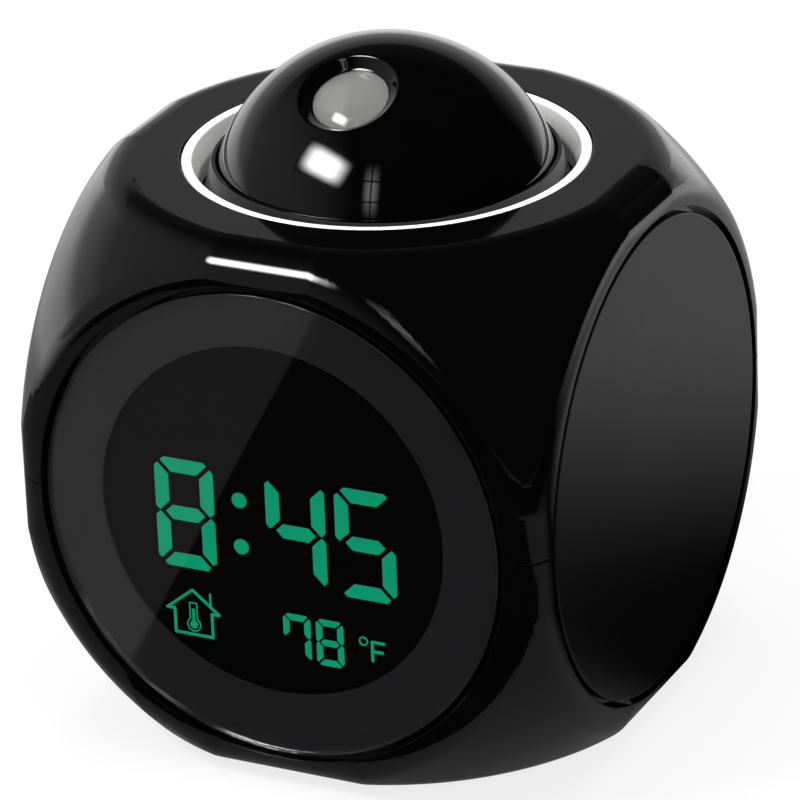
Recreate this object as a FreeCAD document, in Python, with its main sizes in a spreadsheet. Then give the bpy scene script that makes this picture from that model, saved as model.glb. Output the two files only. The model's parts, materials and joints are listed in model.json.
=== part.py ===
import FreeCAD, Part
import Sketcher
import math
import os
import re

# Projection alarm clock: a rounded cube with a tilting projector ball in a push ring on top.
# Millimetres. Z up from the table, display facing -Y, origin under the middle of the base.

# Driving dimensions, one named value each
DIMENSIONS = {
    # housing
    "body_width": 85.0, "body_height": 85.0, "foot_height": 1.0, "edge_radius": 6.0,
    "corner_bulge": 15.7, "wall": 3.0, "seam_rise": 0.6, "seam_groove_depth": 0.35,
    "seam_groove_width": 0.3, "boss_inset": 9.5, "boss_y": 14.0, "boss_radius": 3.4,
    # round panels on the four sides
    "panel_margin": 6.3, "panel_side_gap": 1.0, "panel_recess": 1.8, "panel_sink": 0.1,
    "panel_ledge_width": 3.7, "panel_ring_wall": 1.7, "panel_ring_depth": 2.2, "fit_gap": 0.3,
    # display
    "lens_thickness": 1.2, "mask_width": 8.8, "window_rise": 0.5, "glass_margin": 2.6,
    "glass_thickness": 2.0, "guide_thickness": 2.6, "frame_wall": 2.6, "slip_gap": 0.2,
    "board_thickness": 1.6, "guide_flat_inset": 6.0, "strip_length": 22.0, "strip_height": 2.4,
    "led_width": 3.2, "led_height": 1.6, "led_depth": 1.4, "led_spread": 14.0,
    "display_screw_radius": 0.75, "display_screw_head": 1.4, "display_screw_length": 3.6,
    "display_screw_head_height": 0.7,
    # figures on the display
    "figure_thickness": 0.12, "digit_width": 9.8, "digit_height": 17.0, "stroke": 2.2,
    "digit_drop": 0.7, "hour_offset": 14.4, "ten_offset": 3.4, "minute_offset": 14.5,
    "colon_offset": 5.3, "colon_radius": 1.0, "colon_spread": 3.8, "segment_gap": 0.5,
    "small_width": 4.4, "small_height": 7.4, "small_stroke": 1.0, "small_drop": 17.5,
    "small_first": 3.2, "small_second": 8.5, "degree_offset": 13.9, "degree_rise": 1.4,
    "degree_radius": 0.75, "letter_offset": 15.3, "letter_height": 3.2, "letter_width": 2.0,
    "letter_stroke": 0.5, "house_offset": 13.7, "house_drop": 17.2, "house_width": 6.2,
    "house_height": 3.8, "house_line": 0.45, "roof_width": 8.6, "roof_height": 3.5,
    "chimney_offset": 2.9, "chimney_height": 1.8, "bulb_radius": 0.65, "bulb_drop": 1.25,
    "meter_stem": 0.45, "meter_height": 2.4, "meter_room": 1.0, "meter_gap": 0.3,
    "meter_line": 0.18,
    # white ring and top opening
    "ring_lip": 1.0, "ring_band": 1.5, "ring_sink": 0.2,
    "ring_flange": 0.9, "funnel_gap": 0.5, "funnel_depth": 3.2,
    "ring_tube_wall": 1.4, "key_slot_width": 1.1, "key_width": 0.8,
    # push ring and cradle
    "ball_margin": 16.15, "ball_drop": 9.35, "ball_clearance": 0.3, "collar_wall": 0.55,
    "collar_top_sink": 0.45, "flange_lip": 4.35, "flange_height": 3.2, "cradle_height": 9.65,
    "key_height": 2.4, "cradle_screw_inset": 1.9, "cradle_screw_radius": 0.9,
    "cradle_screw_head": 1.5, "cradle_screw_sink": 2.6, "cradle_screw_length": 10.5,
    "dome_height": 3.0, "dome_radius": 2.6, "dome_top_radius": 1.7, "dome_inset": 2.8,
    "talk_board_margin": 2.6, "talk_board_inset": 10.0, "talk_eye_gap": 1.05,
    "talk_post_gap": 0.94, "talk_post_radius": 2.0, "talk_screw_radius": 0.9,
    "talk_screw_head": 1.7, "talk_screw_length": 6.0,
    # projector ball
    "ball_tilt": 27.0, "ball_wall": 2.0, "ball_seam": 0.2, "port_radius": 7.4,
    "port_depth": 1.3, "port_bore": 5.7, "port_floor": 5.95, "pin_radius": 2.0, "pin_clearance": 0.05,
    "projector_lens_radius": 5.6, "lens_seat_drop": 1.75, "projector_lens_edge": 1.2,
    "projector_lens_crown": 9.5, "tube_bore": 6.8, "tube_lip": 5.2, "retainer_height": 1.0,
    "tube_radius": 8.0, "tube_foot": 3.0, "film_half": 4.75, "film_thickness": 1.1, "film_height": 6.0,
    "condenser_height": 2.0, "condenser_thickness": 2.6, "condenser_crown_radius": 11.0,
    "led_base_radius": 2.5, "led_dome_radius": 1.5, "led_body_height": 3.0,
    "led_board_radius": 12.5, "ball_post_radius": 1.8, "ball_post_offset": 10.3,
    "ball_screw_radius": 0.8, "ball_screw_head": 1.5, "ball_screw_length": 8.0,
    # rear panel, keys and speaker
    "key_count_spacing": 12.0, "key_cap_width": 8.0, "key_cap_height": 5.0, "key_inset": 16.0,
    "key_gap": 0.25, "key_pocket_depth": 0.9, "key_pocket_margin": 3.0, "key_flange_lip": 1.0,
    "key_flange_depth": 0.8, "key_travel": 0.8, "switch_size": 6.0,
    "switch_height": 3.5, "switch_stem_radius": 1.7, "switch_stem": 0.4, "rear_board_half": 25.0,
    "rear_board_height": 20.0, "rear_post_spread": 18.0, "rear_post_rise": 6.5,
    "rear_post_radius": 2.0, "rear_screw_radius": 0.8, "rear_screw_length": 4.5,
    "rear_screw_head": 1.5, "rear_screw_head_height": 0.8,
    "speaker_radius": 13.0, "speaker_inset": 16.0, "speaker_depth": 5.0, "speaker_wall": 0.8,
    "speaker_rim": 1.2, "magnet_radius": 7.5, "magnet_depth": 3.4, "cone_gap": 0.6,
    "cone_thickness": 0.4, "dust_cap_radius": 4.0, "slot_width": 1.5, "slot_pitch": 3.2,
    "slot_reach": 10.5, "speaker_collar_wall": 1.2, "speaker_collar_depth": 3.5,
    # battery bay in the base
    "cell_radius": 5.2, "cell_length": 43.3, "cell_nub_radius": 1.8, "cell_nub": 1.2,
    "cell_pitch": 10.9, "cell_clearance": 0.5, "contact_thickness": 0.4, "spring_space": 3.2,
    "leaf_radius": 4.1, "leaf_thickness": 0.3, "leaf_width": 5.0, "bay_wall": 1.2,
    "door_margin": 2.0, "door_thickness": 2.2, "door_recess": 2.5, "door_gap": 0.3,
    "door_pin_radius": 0.7, "door_pin_length": 1.4, "door_notch": 2.2,
    "foot_radius": 3.5, "foot_x": 18.0, "foot_inset": 14.5, "foot_socket": 0.4,
    # boards and fasteners
    "main_board_rise": 20.0, "main_board_inset": 17.0, "standoff_x": 22.0,
    "standoff_inset": 4.0, "standoff_radius": 2.6, "board_screw_radius": 1.0,
    "board_screw_head": 2.0, "board_screw_head_height": 1.2, "board_screw_length": 7.0,
    "chip_size": 10.0, "chip_height": 1.6, "crystal_length": 8.0, "crystal_width": 3.2,
    "capacitor_radius": 3.0, "capacitor_height": 7.0, "capacitor_offset": 20.0,
    "socket_length": 14.0, "socket_width": 4.0, "socket_height": 3.0,
    "ribbon_width": 11.0, "ribbon_thickness": 0.3, "ribbon_run": 8.0, "ribbon_rise": 12.0,
    "sensor_radius": 1.2, "sensor_length": 4.0, "housing_screw_radius": 1.1, "housing_screw_head": 2.1,
    "housing_screw_recess": 2.4, "housing_screw_seat": 30.0, "housing_screw_length": 24.0,
    "housing_screw_head_height": 2.2,
}

# Sizes that follow from the ones above
DERIVED = {
    "half_width": "body_width / 2",
    "half_least": "min(body_width; body_height) / 2",
    "corner_reach": "half_least + corner_bulge",
    "panel_radius": "half_least - panel_margin",
    "window_radius": "panel_radius - mask_width",
    "guide_flat_drop": "glass_radius - guide_flat_inset",
    "boss_x": "half_width - boss_inset",
    "ball_radius": "half_least - ball_margin",
    "ball_rise": "body_height - ball_drop",
    "projector_lens_height": "ball_inner - lens_seat_drop",
    "key_rise": "panel_ledge - key_inset",
    "speaker_drop": "panel_ledge - speaker_inset",
    "foot_y": "half_width - foot_inset",
    "main_board_x": "boss_x - boss_radius - fit_gap",
    "main_board_y": "half_width - main_board_inset",
    "standoff_y": "main_board_y - standoff_inset",
    "centre": "body_height / 2",
    "core_half": "half_width - edge_radius",
    "port_rim": "sqrt(ball_radius ^ 2 - port_radius ^ 2)",
    "lens_crown_centre": "projector_lens_height + projector_lens_edge"
                         " - sqrt(projector_lens_crown ^ 2 - projector_lens_radius ^ 2)",
    "led_board_top": "-tube_foot",
    "tube_low": "-tube_foot",
    "led_board_low": "led_board_top - board_thickness",
    "seam": "centre + seam_rise",
    "panel_opening": "panel_radius + panel_side_gap",
    "panel_ledge": "panel_opening - panel_ledge_width",
    "panel_seat": "half_width - panel_recess",
    "panel_thickness": "panel_recess - panel_sink",
    "panel_face": "half_width - panel_sink",
    "mask_thickness": "panel_thickness - lens_thickness",
    "window_centre": "centre + window_rise",
    "glass_radius": "window_radius + glass_margin",
    "glass_back": "panel_seat - glass_thickness",
    "guide_back": "glass_back - guide_thickness",
    "display_board_back": "guide_back - board_thickness",
    "frame_inner": "glass_radius + slip_gap",
    "frame_radius": "frame_inner + frame_wall",
    "digit_line": "centre - digit_drop",
    "small_line": "centre - small_drop",
    "house_line_height": "centre - house_drop",
    "ring_top": "body_height - ring_sink",
    "ring_seat": "ring_top - ring_flange",
    "funnel_radius": "collar_radius + funnel_gap",
    "ring_outer": "funnel_radius + ring_tube_wall",
    "ring_radius": "ring_outer + ring_lip",
    "ring_neck": "ring_radius - ring_band",
    "top_ledge": "ring_outer + fit_gap",
    "top_opening_radius": "ring_radius + fit_gap",
    "ring_bottom": "flange_top + fit_gap",
    "socket_radius": "ball_radius + ball_clearance",
    "collar_radius": "socket_radius + collar_wall",
    "collar_top": "body_height - collar_top_sink",
    "flange_top": "ball_rise + flange_height",
    "flange_radius": "socket_radius + flange_lip",
    "cradle_bottom": "ball_rise - cradle_height",
    "cradle_screw_ring": "flange_radius - cradle_screw_inset",
    "dome_ring": "flange_radius - dome_inset",
    "talk_post_ring": "flange_radius + talk_post_gap + talk_post_radius",
    "talk_post_offset": "talk_post_ring * sqrt(0.5)",
    "talk_board_radius": "talk_post_ring + talk_board_margin",
    "talk_board_y": "half_width - talk_board_inset",
    "talk_board_x": "boss_x - boss_radius - fit_gap * 2",
    "talk_board_hole": "sqrt(socket_radius ^ 2 - (cradle_height + dome_height) ^ 2) + talk_eye_gap",
    "talk_board_top": "cradle_bottom - dome_height",
    "talk_board_bottom": "talk_board_top - board_thickness",
    "ball_inner": "ball_radius - ball_wall",
    "key_line": "centre + key_rise",
    "key_pocket_floor": "panel_face - key_pocket_depth",
    "key_flange_front": "panel_seat - slip_gap / 2",
    "key_flange_back": "key_flange_front - key_flange_depth",
    "switch_tip": "key_flange_back - key_travel - slip_gap / 2",
    "switch_top": "switch_tip - switch_stem",
    "rear_board_front": "switch_top - switch_height",
    "rear_board_back": "rear_board_front - board_thickness",
    "speaker_line": "centre - speaker_drop",
    "speaker_back": "panel_seat - speaker_depth",
    "bay_half_x": "(cell_length + cell_nub + spring_space) / 2 + contact_thickness * 2",
    "bay_half_y": "cell_pitch + cell_radius + cell_clearance",
    "door_half_x": "bay_half_x + door_margin - door_gap",
    "door_half_y": "bay_half_y + door_margin - door_gap",
    "door_axis_rise": "foot_height + door_thickness / 2",
    "door_axis_y": "door_half_y - door_thickness / 2",
    "cell_rise": "foot_height + door_recess + cell_clearance + cell_radius",
    "bay_top": "cell_rise + cell_radius + cell_clearance",
    "main_board_top": "main_board_rise + board_thickness",
}

doc = FreeCAD.newDocument("projection_alarm_clock")
sheet = doc.addObject("Spreadsheet::Sheet", "dims")
for row, (alias, value) in enumerate(DIMENSIONS.items(), start=1):
    sheet.set(f"A{row}", alias.replace("_", " "))
    sheet.set(f"B{row}", str(value))
    sheet.setAlias(f"B{row}", alias)
doc.recompute()

probe = doc.addObject("App::FeaturePython", "probe")
probe.addProperty("App::PropertyFloat", "reading")

X_AXIS = FreeCAD.Vector(1, 0, 0)
Y_AXIS = FreeCAD.Vector(0, 1, 0)
Z_AXIS = FreeCAD.Vector(0, 0, 1)
FACING = {
    "up": (X_AXIS, 0), "down": (X_AXIS, 180), "front": (X_AXIS, 90), "rear": (X_AXIS, -90),
    "right": (Y_AXIS, 90), "left": (Y_AXIS, -90),
}
CORNERS = [(-1, -1), (1, -1), (1, 1), (-1, 1)]
pieces = []


def formula(text):
    """Spell out derived names and point the driving ones at the sheet."""
    def swap(match):
        word = match.group()
        if word in DERIVED:
            return f"({formula(DERIVED[word])})"
        return f"dims.{word}" if word in DIMENSIONS else word
    return re.sub(r"[a-z_]+[a-z_0-9]*", swap, str(text))


def value_of(text):
    """The number that a formula has now."""
    probe.setExpression("reading", formula(text))
    probe.recompute()
    return probe.reading


def bind(item, **sizes):
    for name, text in sizes.items():
        item.setExpression(name, formula(text))
    return item


def place(item, at=(0, 0, 0), facing="up"):
    axis, angle = FACING[facing]
    item.Placement = FreeCAD.Placement(FreeCAD.Vector(), FreeCAD.Rotation(axis, angle))
    for letter, text in zip("xyz", at):
        item.setExpression(f"Placement.Base.{letter}", formula(text))
    return item


def block(name, low, size):
    item = doc.addObject("Part::Box", name)
    bind(item, Length=size[0], Width=size[1], Height=size[2])
    return place(item, low)


def slab(name, centre, size):
    """A block given by its centre."""
    low = [f"({c}) - ({s}) / 2" for c, s in zip(centre, size)]
    return block(name, low, size)


def rod(name, radius, length, at=(0, 0, 0), facing="up"):
    item = doc.addObject("Part::Cylinder", name)
    bind(item, Radius=radius, Height=length)
    return place(item, at, facing)


def taper(name, radius, top_radius, length, at=(0, 0, 0), facing="up"):
    item = doc.addObject("Part::Cone", name)
    bind(item, Radius1=radius, Radius2=top_radius, Height=length)
    return place(item, at, facing)


def globe(name, radius, at=(0, 0, 0)):
    item = doc.addObject("Part::Sphere", name)
    bind(item, Radius=radius)
    return place(item, at)


def fuse(name, items):
    item = doc.addObject("Part::MultiFuse", name)
    item.Shapes = items
    return item


def common(name, items):
    item = doc.addObject("Part::MultiCommon", name)
    item.Shapes = items
    return item


def cut(name, base, *tools):
    item = doc.addObject("Part::Cut", name)
    item.Base = base
    item.Tool = tools[0] if len(tools) == 1 else group(f"{name}_tools", tools)
    return item


def group(name, items):
    item = doc.addObject("Part::Compound", name)
    item.Links = list(items)
    return item


def tube(name, radius, bore, length, at=(0, 0, 0), facing="up"):
    return cut(name, rod(f"{name}_outside", radius, length, at, facing),
               rod(f"{name}_bore", bore, length, at, facing))


def piece(label, item):
    """Name a finished sub-part and note it for export."""
    item.Label = label
    pieces.append(item)
    return item


def turned(name, profile, at=(0, 0, 0), facing="up"):
    """A revolved body from (radius, height) corners."""
    body = doc.addObject("PartDesign::Body", name)
    sketch = body.newObject("Sketcher::SketchObject", f"{name}_profile")
    plane = next(f for f in body.Origin.OriginFeatures if f.Role == "XZ_Plane")
    sketch.AttachmentSupport = [(plane, "")]
    sketch.MapMode = "FlatFace"
    corners = [FreeCAD.Vector(value_of(r), value_of(h), 0) for r, h in profile]
    for i, corner in enumerate(corners):
        sketch.addGeometry(Part.LineSegment(corner, corners[(i + 1) % len(corners)]), False)
    for i in range(len(corners)):
        after = (i + 1) % len(corners)
        sketch.addConstraint(Sketcher.Constraint("Coincident", i, 2, after, 1))
    for i, (radius, height) in enumerate(profile):
        for kind, text, size in (("DistanceX", radius, corners[i].x),
                                 ("DistanceY", height, corners[i].y)):
            number = sketch.addConstraint(Sketcher.Constraint(kind, -1, 1, i, 1, size))
            sketch.setExpression(f"Constraints[{number}]", formula(text))
    turn = body.newObject("PartDesign::Revolution", f"{name}_turn")
    turn.Profile = sketch
    turn.ReferenceAxis = (sketch, ["V_Axis"])
    turn.Angle = 360
    sketch.Visibility = False
    return place(body, at, facing)


def pill(name, width, height, depth, at, facing):
    """A slot-shaped prism, long across X, starting at a point and going the way it faces."""
    reach = f"(({width}) - ({height})) / 2"
    x, y, z = at
    sign = 1 if facing == "rear" else -1
    low_y = y if sign > 0 else f"({y}) - ({depth})"
    middle = block(f"{name}_middle", (f"({x}) - {reach}", low_y, f"({z}) - ({height}) / 2"),
                   (f"({width}) - ({height})", depth, height))
    ends = [rod(f"{name}_end_{side}", f"({height}) / 2", depth,
                (f"({x}) + {reach} * {side}", y, z), facing) for side in (-1, 1)]
    return fuse(name, [middle] + ends)


def screw(name, radius, length, head_radius, head_height, at, facing):
    """A screw whose head rests at a point, with the shank going the way it faces."""
    back = {"up": "down", "down": "up", "front": "rear", "rear": "front"}[facing]
    return fuse(name, [rod(f"{name}_shank", radius, length, at, facing),
                       rod(f"{name}_head", head_radius, head_height, at, back)])


# Rounded cube: a box trimmed by a sphere, then rolled round by the edge radius
core_box = block("core_box", ("-core_half", "-core_half", "foot_height + edge_radius"),
                 ("core_half * 2", "core_half * 2", "body_height - foot_height - edge_radius * 2"))
core_ball = globe("core_ball", "corner_reach - edge_radius", (0, 0, "centre"))
core = common("core", [core_box, core_ball])


def rolled(name, distance):
    item = doc.addObject("Part::Offset", name)
    item.Source = core
    item.Mode = "Skin"
    item.Join = "Arc"
    return bind(item, Value=distance)


outside = rolled("outside", "edge_radius")
inside = rolled("inside", "edge_radius - wall")
groove_floor = rolled("groove_floor", "edge_radius - seam_groove_depth")

SIDES = {"front": (0, -1), "rear": (0, 1), "right": (1, 0), "left": (-1, 0)}


def side_rod(name, side, radius, start, depth, rise="centre"):
    """A round bar along a side's direction, from a distance off the middle outwards."""
    x, y = SIDES[side]
    return rod(name, radius, depth, (f"({start}) * {x}", f"({start}) * {y}", rise), side)


openings = [side_rod(f"{side}_opening", side, "panel_opening", "panel_seat", "panel_recess + wall")
            for side in SIDES]
ledges = [side_rod(f"{side}_ledge", side, "panel_ledge", "panel_seat - wall", "wall * 2")
          for side in SIDES]
top_recess = rod("top_recess", "top_opening_radius", "wall * 2", (0, 0, "ring_seat"))
top_hole = rod("top_hole", "top_ledge", "wall * 3", (0, 0, "ring_seat - wall * 2"))
seam_ring = cut("seam_ring", slab("seam_slab", (0, 0, "seam"),
                                  ("body_width * 2", "body_width * 2", "seam_groove_width")),
                groove_floor)

# Upper half: bosses for the long screws and posts for the switch board
upper_bosses = []
upper_pilots = []
talk_posts = []
talk_pilots = []
for number, (sx, sy) in enumerate(CORNERS):
    at = (f"boss_x * {sx}", f"boss_y * {sy}")
    upper_bosses.append(rod(f"upper_boss_{number}", "boss_radius", "body_height - seam",
                            (*at, "seam")))
    upper_pilots.append(rod(f"upper_pilot_{number}", "housing_screw_radius",
                            "housing_screw_length - (seam - housing_screw_seat) + slip_gap",
                            (*at, "seam")))
    post_at = (f"talk_post_offset * {sx}", f"talk_post_offset * {sy}")
    talk_posts.append(rod(f"talk_post_{number}", "talk_post_radius",
                          "body_height - talk_board_top", (*post_at, "talk_board_top")))
    talk_pilots.append(rod(f"talk_pilot_{number}", "talk_screw_radius",
                           "talk_screw_length - board_thickness + slip_gap",
                           (*post_at, "talk_board_top")))
upper_half_space = block("upper_half_space", ("-body_width", "-body_width", "seam"),
                         ("body_width * 2", "body_width * 2", "body_height"))
upper_shell = cut("upper_shell", common("upper_solid", [outside, upper_half_space]), inside)
upper_posts = common("upper_posts", [outside, group("upper_post_set", upper_bosses + talk_posts)])
upper_blank = fuse("upper_blank", [upper_shell, upper_posts])
upper_housing = cut("upper_housing_body", upper_blank, *openings, *ledges, top_recess, top_hole,
                    *upper_pilots, *talk_pilots, seam_ring)
piece("upper_housing", upper_housing)

# Lower half: screw towers, standoffs, battery bay and the door's recess
lower_towers = []
lower_holes = []
for number, (sx, sy) in enumerate(CORNERS):
    at = (f"boss_x * {sx}", f"boss_y * {sy}")
    lower_towers.append(rod(f"tower_{number}", "boss_radius", "seam - foot_height",
                            (*at, "foot_height")))
    lower_holes.append(rod(f"tower_recess_{number}", "housing_screw_recess",
                           "housing_screw_seat", (*at, 0)))
    lower_holes.append(rod(f"tower_hole_{number}", "housing_screw_radius + slip_gap",
                           "seam", (*at, "housing_screw_seat")))
    stand = (f"standoff_x * {sx}", f"standoff_y * {sy}")
    lower_towers.append(rod(f"standoff_{number}", "standoff_radius",
                            "main_board_rise - foot_height", (*stand, "foot_height")))
    lower_holes.append(rod(f"standoff_pilot_{number}", "board_screw_radius",
                           "board_screw_length - board_thickness + slip_gap",
                           (*stand, "main_board_top - board_screw_length - slip_gap")))
    foot = (f"foot_x * {sx}", f"foot_y * {sy}")
    lower_holes.append(rod(f"foot_socket_{number}", "foot_radius", "foot_height + foot_socket",
                           (*foot, 0)))
lower_half_space = block("lower_half_space", ("-body_width", "-body_width", "seam - body_height"),
                         ("body_width * 2", "body_width * 2", "body_height"))
lower_shell = cut("lower_shell", common("lower_solid", [outside, lower_half_space]), inside)
bay_outside = block("bay_outside", ("-bay_half_x - bay_wall", "-bay_half_y - bay_wall",
                                    "foot_height"),
                    ("(bay_half_x + bay_wall) * 2", "(bay_half_y + bay_wall) * 2",
                     "bay_top + bay_wall - foot_height"))
bay_space = block("bay_space", ("-bay_half_x", "-bay_half_y", 0),
                  ("bay_half_x * 2", "bay_half_y * 2", "bay_top"))
door_space = block("door_space", ("-door_half_x - door_gap", "-door_half_y - door_gap", 0),
                   ("(door_half_x + door_gap) * 2", "(door_half_y + door_gap) * 2",
                    "foot_height + door_recess"))
door_holes = [rod(f"door_hole_{side}", "door_pin_radius + pin_clearance",
                  "door_pin_length + door_gap * 2",
                  (f"door_half_x * {sign}", "door_axis_y", "door_axis_rise"), side)
              for side, sign in (("right", 1), ("left", -1))]
finger_notch = block("finger_notch", ("-door_notch * 3", "-door_half_y - door_gap - door_notch", 0),
                     ("door_notch * 6", "door_notch + door_gap * 2", "foot_height + door_thickness / 2"))
lower_posts = common("lower_posts", [outside, group("lower_post_set", lower_towers + [bay_outside])])
lower_blank = fuse("lower_blank", [lower_shell, lower_posts])
lower_housing = cut("lower_housing_body", lower_blank, *openings, *ledges, *lower_holes,
                    bay_space, door_space, *door_holes, finger_notch, seam_ring)
piece("lower_housing", lower_housing)

piece("foot_pads", group("foot_pads_set", [
    rod(f"foot_{number}", "foot_radius - slip_gap / 2", "foot_height + foot_socket",
        (f"foot_x * {sx}", f"foot_y * {sy}", 0)) for number, (sx, sy) in enumerate(CORNERS)]))
piece("housing_screws", group("housing_screws_set", [
    screw(f"housing_screw_{number}", "housing_screw_radius", "housing_screw_length",
          "housing_screw_head", "housing_screw_head_height",
          (f"boss_x * {sx}", f"boss_y * {sy}", "housing_screw_seat"), "up")
    for number, (sx, sy) in enumerate(CORNERS)]))

# Plain side panels: a disc with a locating ring behind it
def side_panel(side):
    disc = side_rod(f"{side}_disc", side, "panel_radius", "panel_seat", "panel_thickness")
    x, y = SIDES[side]
    start = "panel_seat - panel_ring_depth"
    ring = tube(f"{side}_locating_ring", "panel_ledge - fit_gap",
                "panel_ledge - fit_gap - panel_ring_wall", "panel_ring_depth",
                (f"({start}) * {x}", f"({start}) * {y}", "centre"), side)
    return fuse(f"{side}_panel_body", [disc, ring])


piece("left_panel", side_panel("left"))
piece("right_panel", side_panel("right"))

# Front: clear lens over a dark mask, then glass, light guide, frame and board
piece("front_lens", side_rod("front_lens_body", "front", "panel_radius",
                             "panel_face - lens_thickness", "lens_thickness"))
mask_disc = side_rod("mask_disc", "front", "panel_radius", "panel_seat", "mask_thickness")
mask_window = side_rod("mask_window", "front", "window_radius", "panel_seat", "mask_thickness",
                       "window_centre")
piece("display_mask", cut("display_mask_body", mask_disc, mask_window))
piece("display_glass", side_rod("display_glass_body", "front", "glass_radius", "glass_back",
                                "glass_thickness", "window_centre"))
guide_disc = side_rod("guide_disc", "front", "glass_radius", "guide_back", "guide_thickness",
                      "window_centre")
guide_chord = block("guide_chord", ("-body_width", "-panel_seat", "0"),
                    ("body_width * 2", "body_width", "window_centre - guide_flat_drop"))
display_leds = []
led_pockets = []
for number, sx in enumerate((-1, 1)):
    for row, sz in enumerate((-1, 1)):
        spot = (f"led_spread * {sx}", "-guide_back - led_depth / 2",
                f"window_centre + led_spread * {sz}")
        display_leds.append(slab(f"display_led_{number}_{row}", spot,
                                 ("led_width", "led_depth", "led_height")))
        led_pockets.append(slab(f"led_pocket_{number}_{row}", spot,
                                ("led_width + slip_gap * 2", "led_depth + slip_gap",
                                 "led_height + slip_gap * 2")))
piece("light_guide", cut("light_guide_body", guide_disc, guide_chord, *led_pockets))
piece("backlight_leds", group("backlight_leds_set", display_leds))
piece("contact_strip", slab("contact_strip_body",
                            (0, "-(glass_back + guide_back) / 2",
                             "window_centre - guide_flat_drop - fit_gap - strip_height / 2"),
                            ("strip_length", "guide_thickness", "strip_height")))
frame_ring = cut("frame_ring",
                 side_rod("frame_outside", "front", "frame_radius", "guide_back",
                          "panel_seat - guide_back", "window_centre"),
                 side_rod("frame_inside", "front", "frame_inner", "guide_back",
                          "panel_seat - guide_back", "window_centre"))
display_board = side_rod("display_board_disc", "front", "frame_radius",
                         "display_board_back", "board_thickness", "window_centre")
display_screws = []
display_pilots = []
for number, (sx, sz) in enumerate(CORNERS):
    ring_at = "(frame_inner + frame_wall / 2) * sqrt(0.5)"
    at = (f"{ring_at} * {sx}", "-display_board_back",
          f"window_centre + {ring_at} * {sz}")
    display_screws.append(screw(f"display_screw_{number}", "display_screw_radius",
                                "display_screw_length", "display_screw_head",
                                "display_screw_head_height", at, "front"))
    display_pilots.append(rod(f"display_pilot_{number}", "display_screw_radius",
                              "display_screw_length + slip_gap", at, "front"))
piece("display_frame", cut("display_frame_body", frame_ring, *display_pilots))
piece("display_board", cut("display_board_body", display_board, *display_pilots))
piece("display_screws", group("display_screws_set", display_screws))


# Figures: seven-bar digits, colon, small reading, degree mark and a house sign
def bar(name, x, z, length, stroke, turn, mitres=(1, 1)):
    """A bar of a digit, wide outside and narrow inside; turn points its inside."""
    item = doc.addObject("Part::Wedge", name)
    bind(item, Xmin=f"-({length}) / 2", Xmax=f"({length}) / 2",
         X2min=f"-({length}) / 2 + ({stroke}) * {mitres[0]}",
         X2max=f"({length}) / 2 - ({stroke}) * {mitres[1]}", Ymin=0, Ymax=stroke, Zmin=0,
         Zmax="figure_thickness", Z2min=0, Z2max="figure_thickness")
    flat = FreeCAD.Rotation(X_AXIS, 90)
    item.Placement = FreeCAD.Placement(FreeCAD.Vector(), flat.multiply(FreeCAD.Rotation(Z_AXIS, turn)))
    item.setExpression("Placement.Base.x", formula(x))
    item.setExpression("Placement.Base.y", formula("-panel_seat"))
    item.setExpression("Placement.Base.z", formula(z))
    return item


BARS_OF = {4: "bcfg", 5: "acdfg", 7: "abcf", 8: "abcdefg"}


def digit(name, figure, x, z, width, height, stroke):
    bars = []
    half = f"({height}) / 2"
    long_bar = f"({height}) / 2 - segment_gap"
    wide_bar = f"({width}) - segment_gap"
    left = f"({x}) - ({width}) / 2"
    right = f"({x}) + ({width}) / 2"
    spots = {
        "a": (x, f"({z}) + {half}", wide_bar, 180, (1, 1)),
        "d": (x, f"({z}) - {half}", wide_bar, 0, (1, 1)),
        "f": (left, f"({z}) + ({height}) / 4", long_bar, -90, (1, 0.5)),
        "e": (left, f"({z}) - ({height}) / 4", long_bar, -90, (0.5, 1)),
        "b": (right, f"({z}) + ({height}) / 4", long_bar, 90, (0.5, 1)),
        "c": (right, f"({z}) - ({height}) / 4", long_bar, 90, (1, 0.5)),
    }
    for letter in BARS_OF[figure]:
        if letter == "g":
            halves = [bar(f"{name}_g_{turn}", x, z, f"{wide_bar} - segment_gap * 2",
                          f"({stroke}) / 2", turn, (2, 2)) for turn in (0, 180)]
            bars.append(fuse(f"{name}_g", halves))
        else:
            px, pz, length, turn, mitres = spots[letter]
            bars.append(bar(f"{name}_{letter}", px, pz, length, stroke, turn, mitres))
    return bars


def mark(name, x, z, width, height):
    return slab(name, (x, "-panel_seat - figure_thickness / 2", z),
                (width, "figure_thickness", height))


figures = []
figures += digit("hour", 8, "-hour_offset", "digit_line", "digit_width", "digit_height", "stroke")
figures += digit("ten", 4, "ten_offset", "digit_line", "digit_width", "digit_height", "stroke")
figures += digit("minute", 5, "minute_offset", "digit_line", "digit_width", "digit_height", "stroke")
figures += digit("warm", 7, "small_first", "small_line", "small_width", "small_height", "small_stroke")
figures += digit("cool", 8, "small_second", "small_line", "small_width", "small_height", "small_stroke")
for name, sign in (("colon_high", 1), ("colon_low", -1)):
    figures.append(rod(name, "colon_radius", "figure_thickness",
                       ("-colon_offset", "-panel_seat", f"digit_line + colon_spread * {sign}"),
                       "front"))
degree_line = "small_line + degree_rise"
figures.append(tube("degree", "degree_radius", "degree_radius - letter_stroke * 0.6",
                    "figure_thickness", ("degree_offset", "-panel_seat", degree_line), "front"))
figures.append(fuse("letter", [
    mark("letter_stem", "letter_offset", "small_line", "letter_stroke", "letter_height"),
    mark("letter_top", "letter_offset + letter_width / 2",
         "small_line + (letter_height - letter_stroke) / 2", "letter_width", "letter_stroke"),
    mark("letter_middle", "letter_offset + letter_width * 0.4", "small_line",
         "letter_width * 0.8", "letter_stroke")]))
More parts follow.
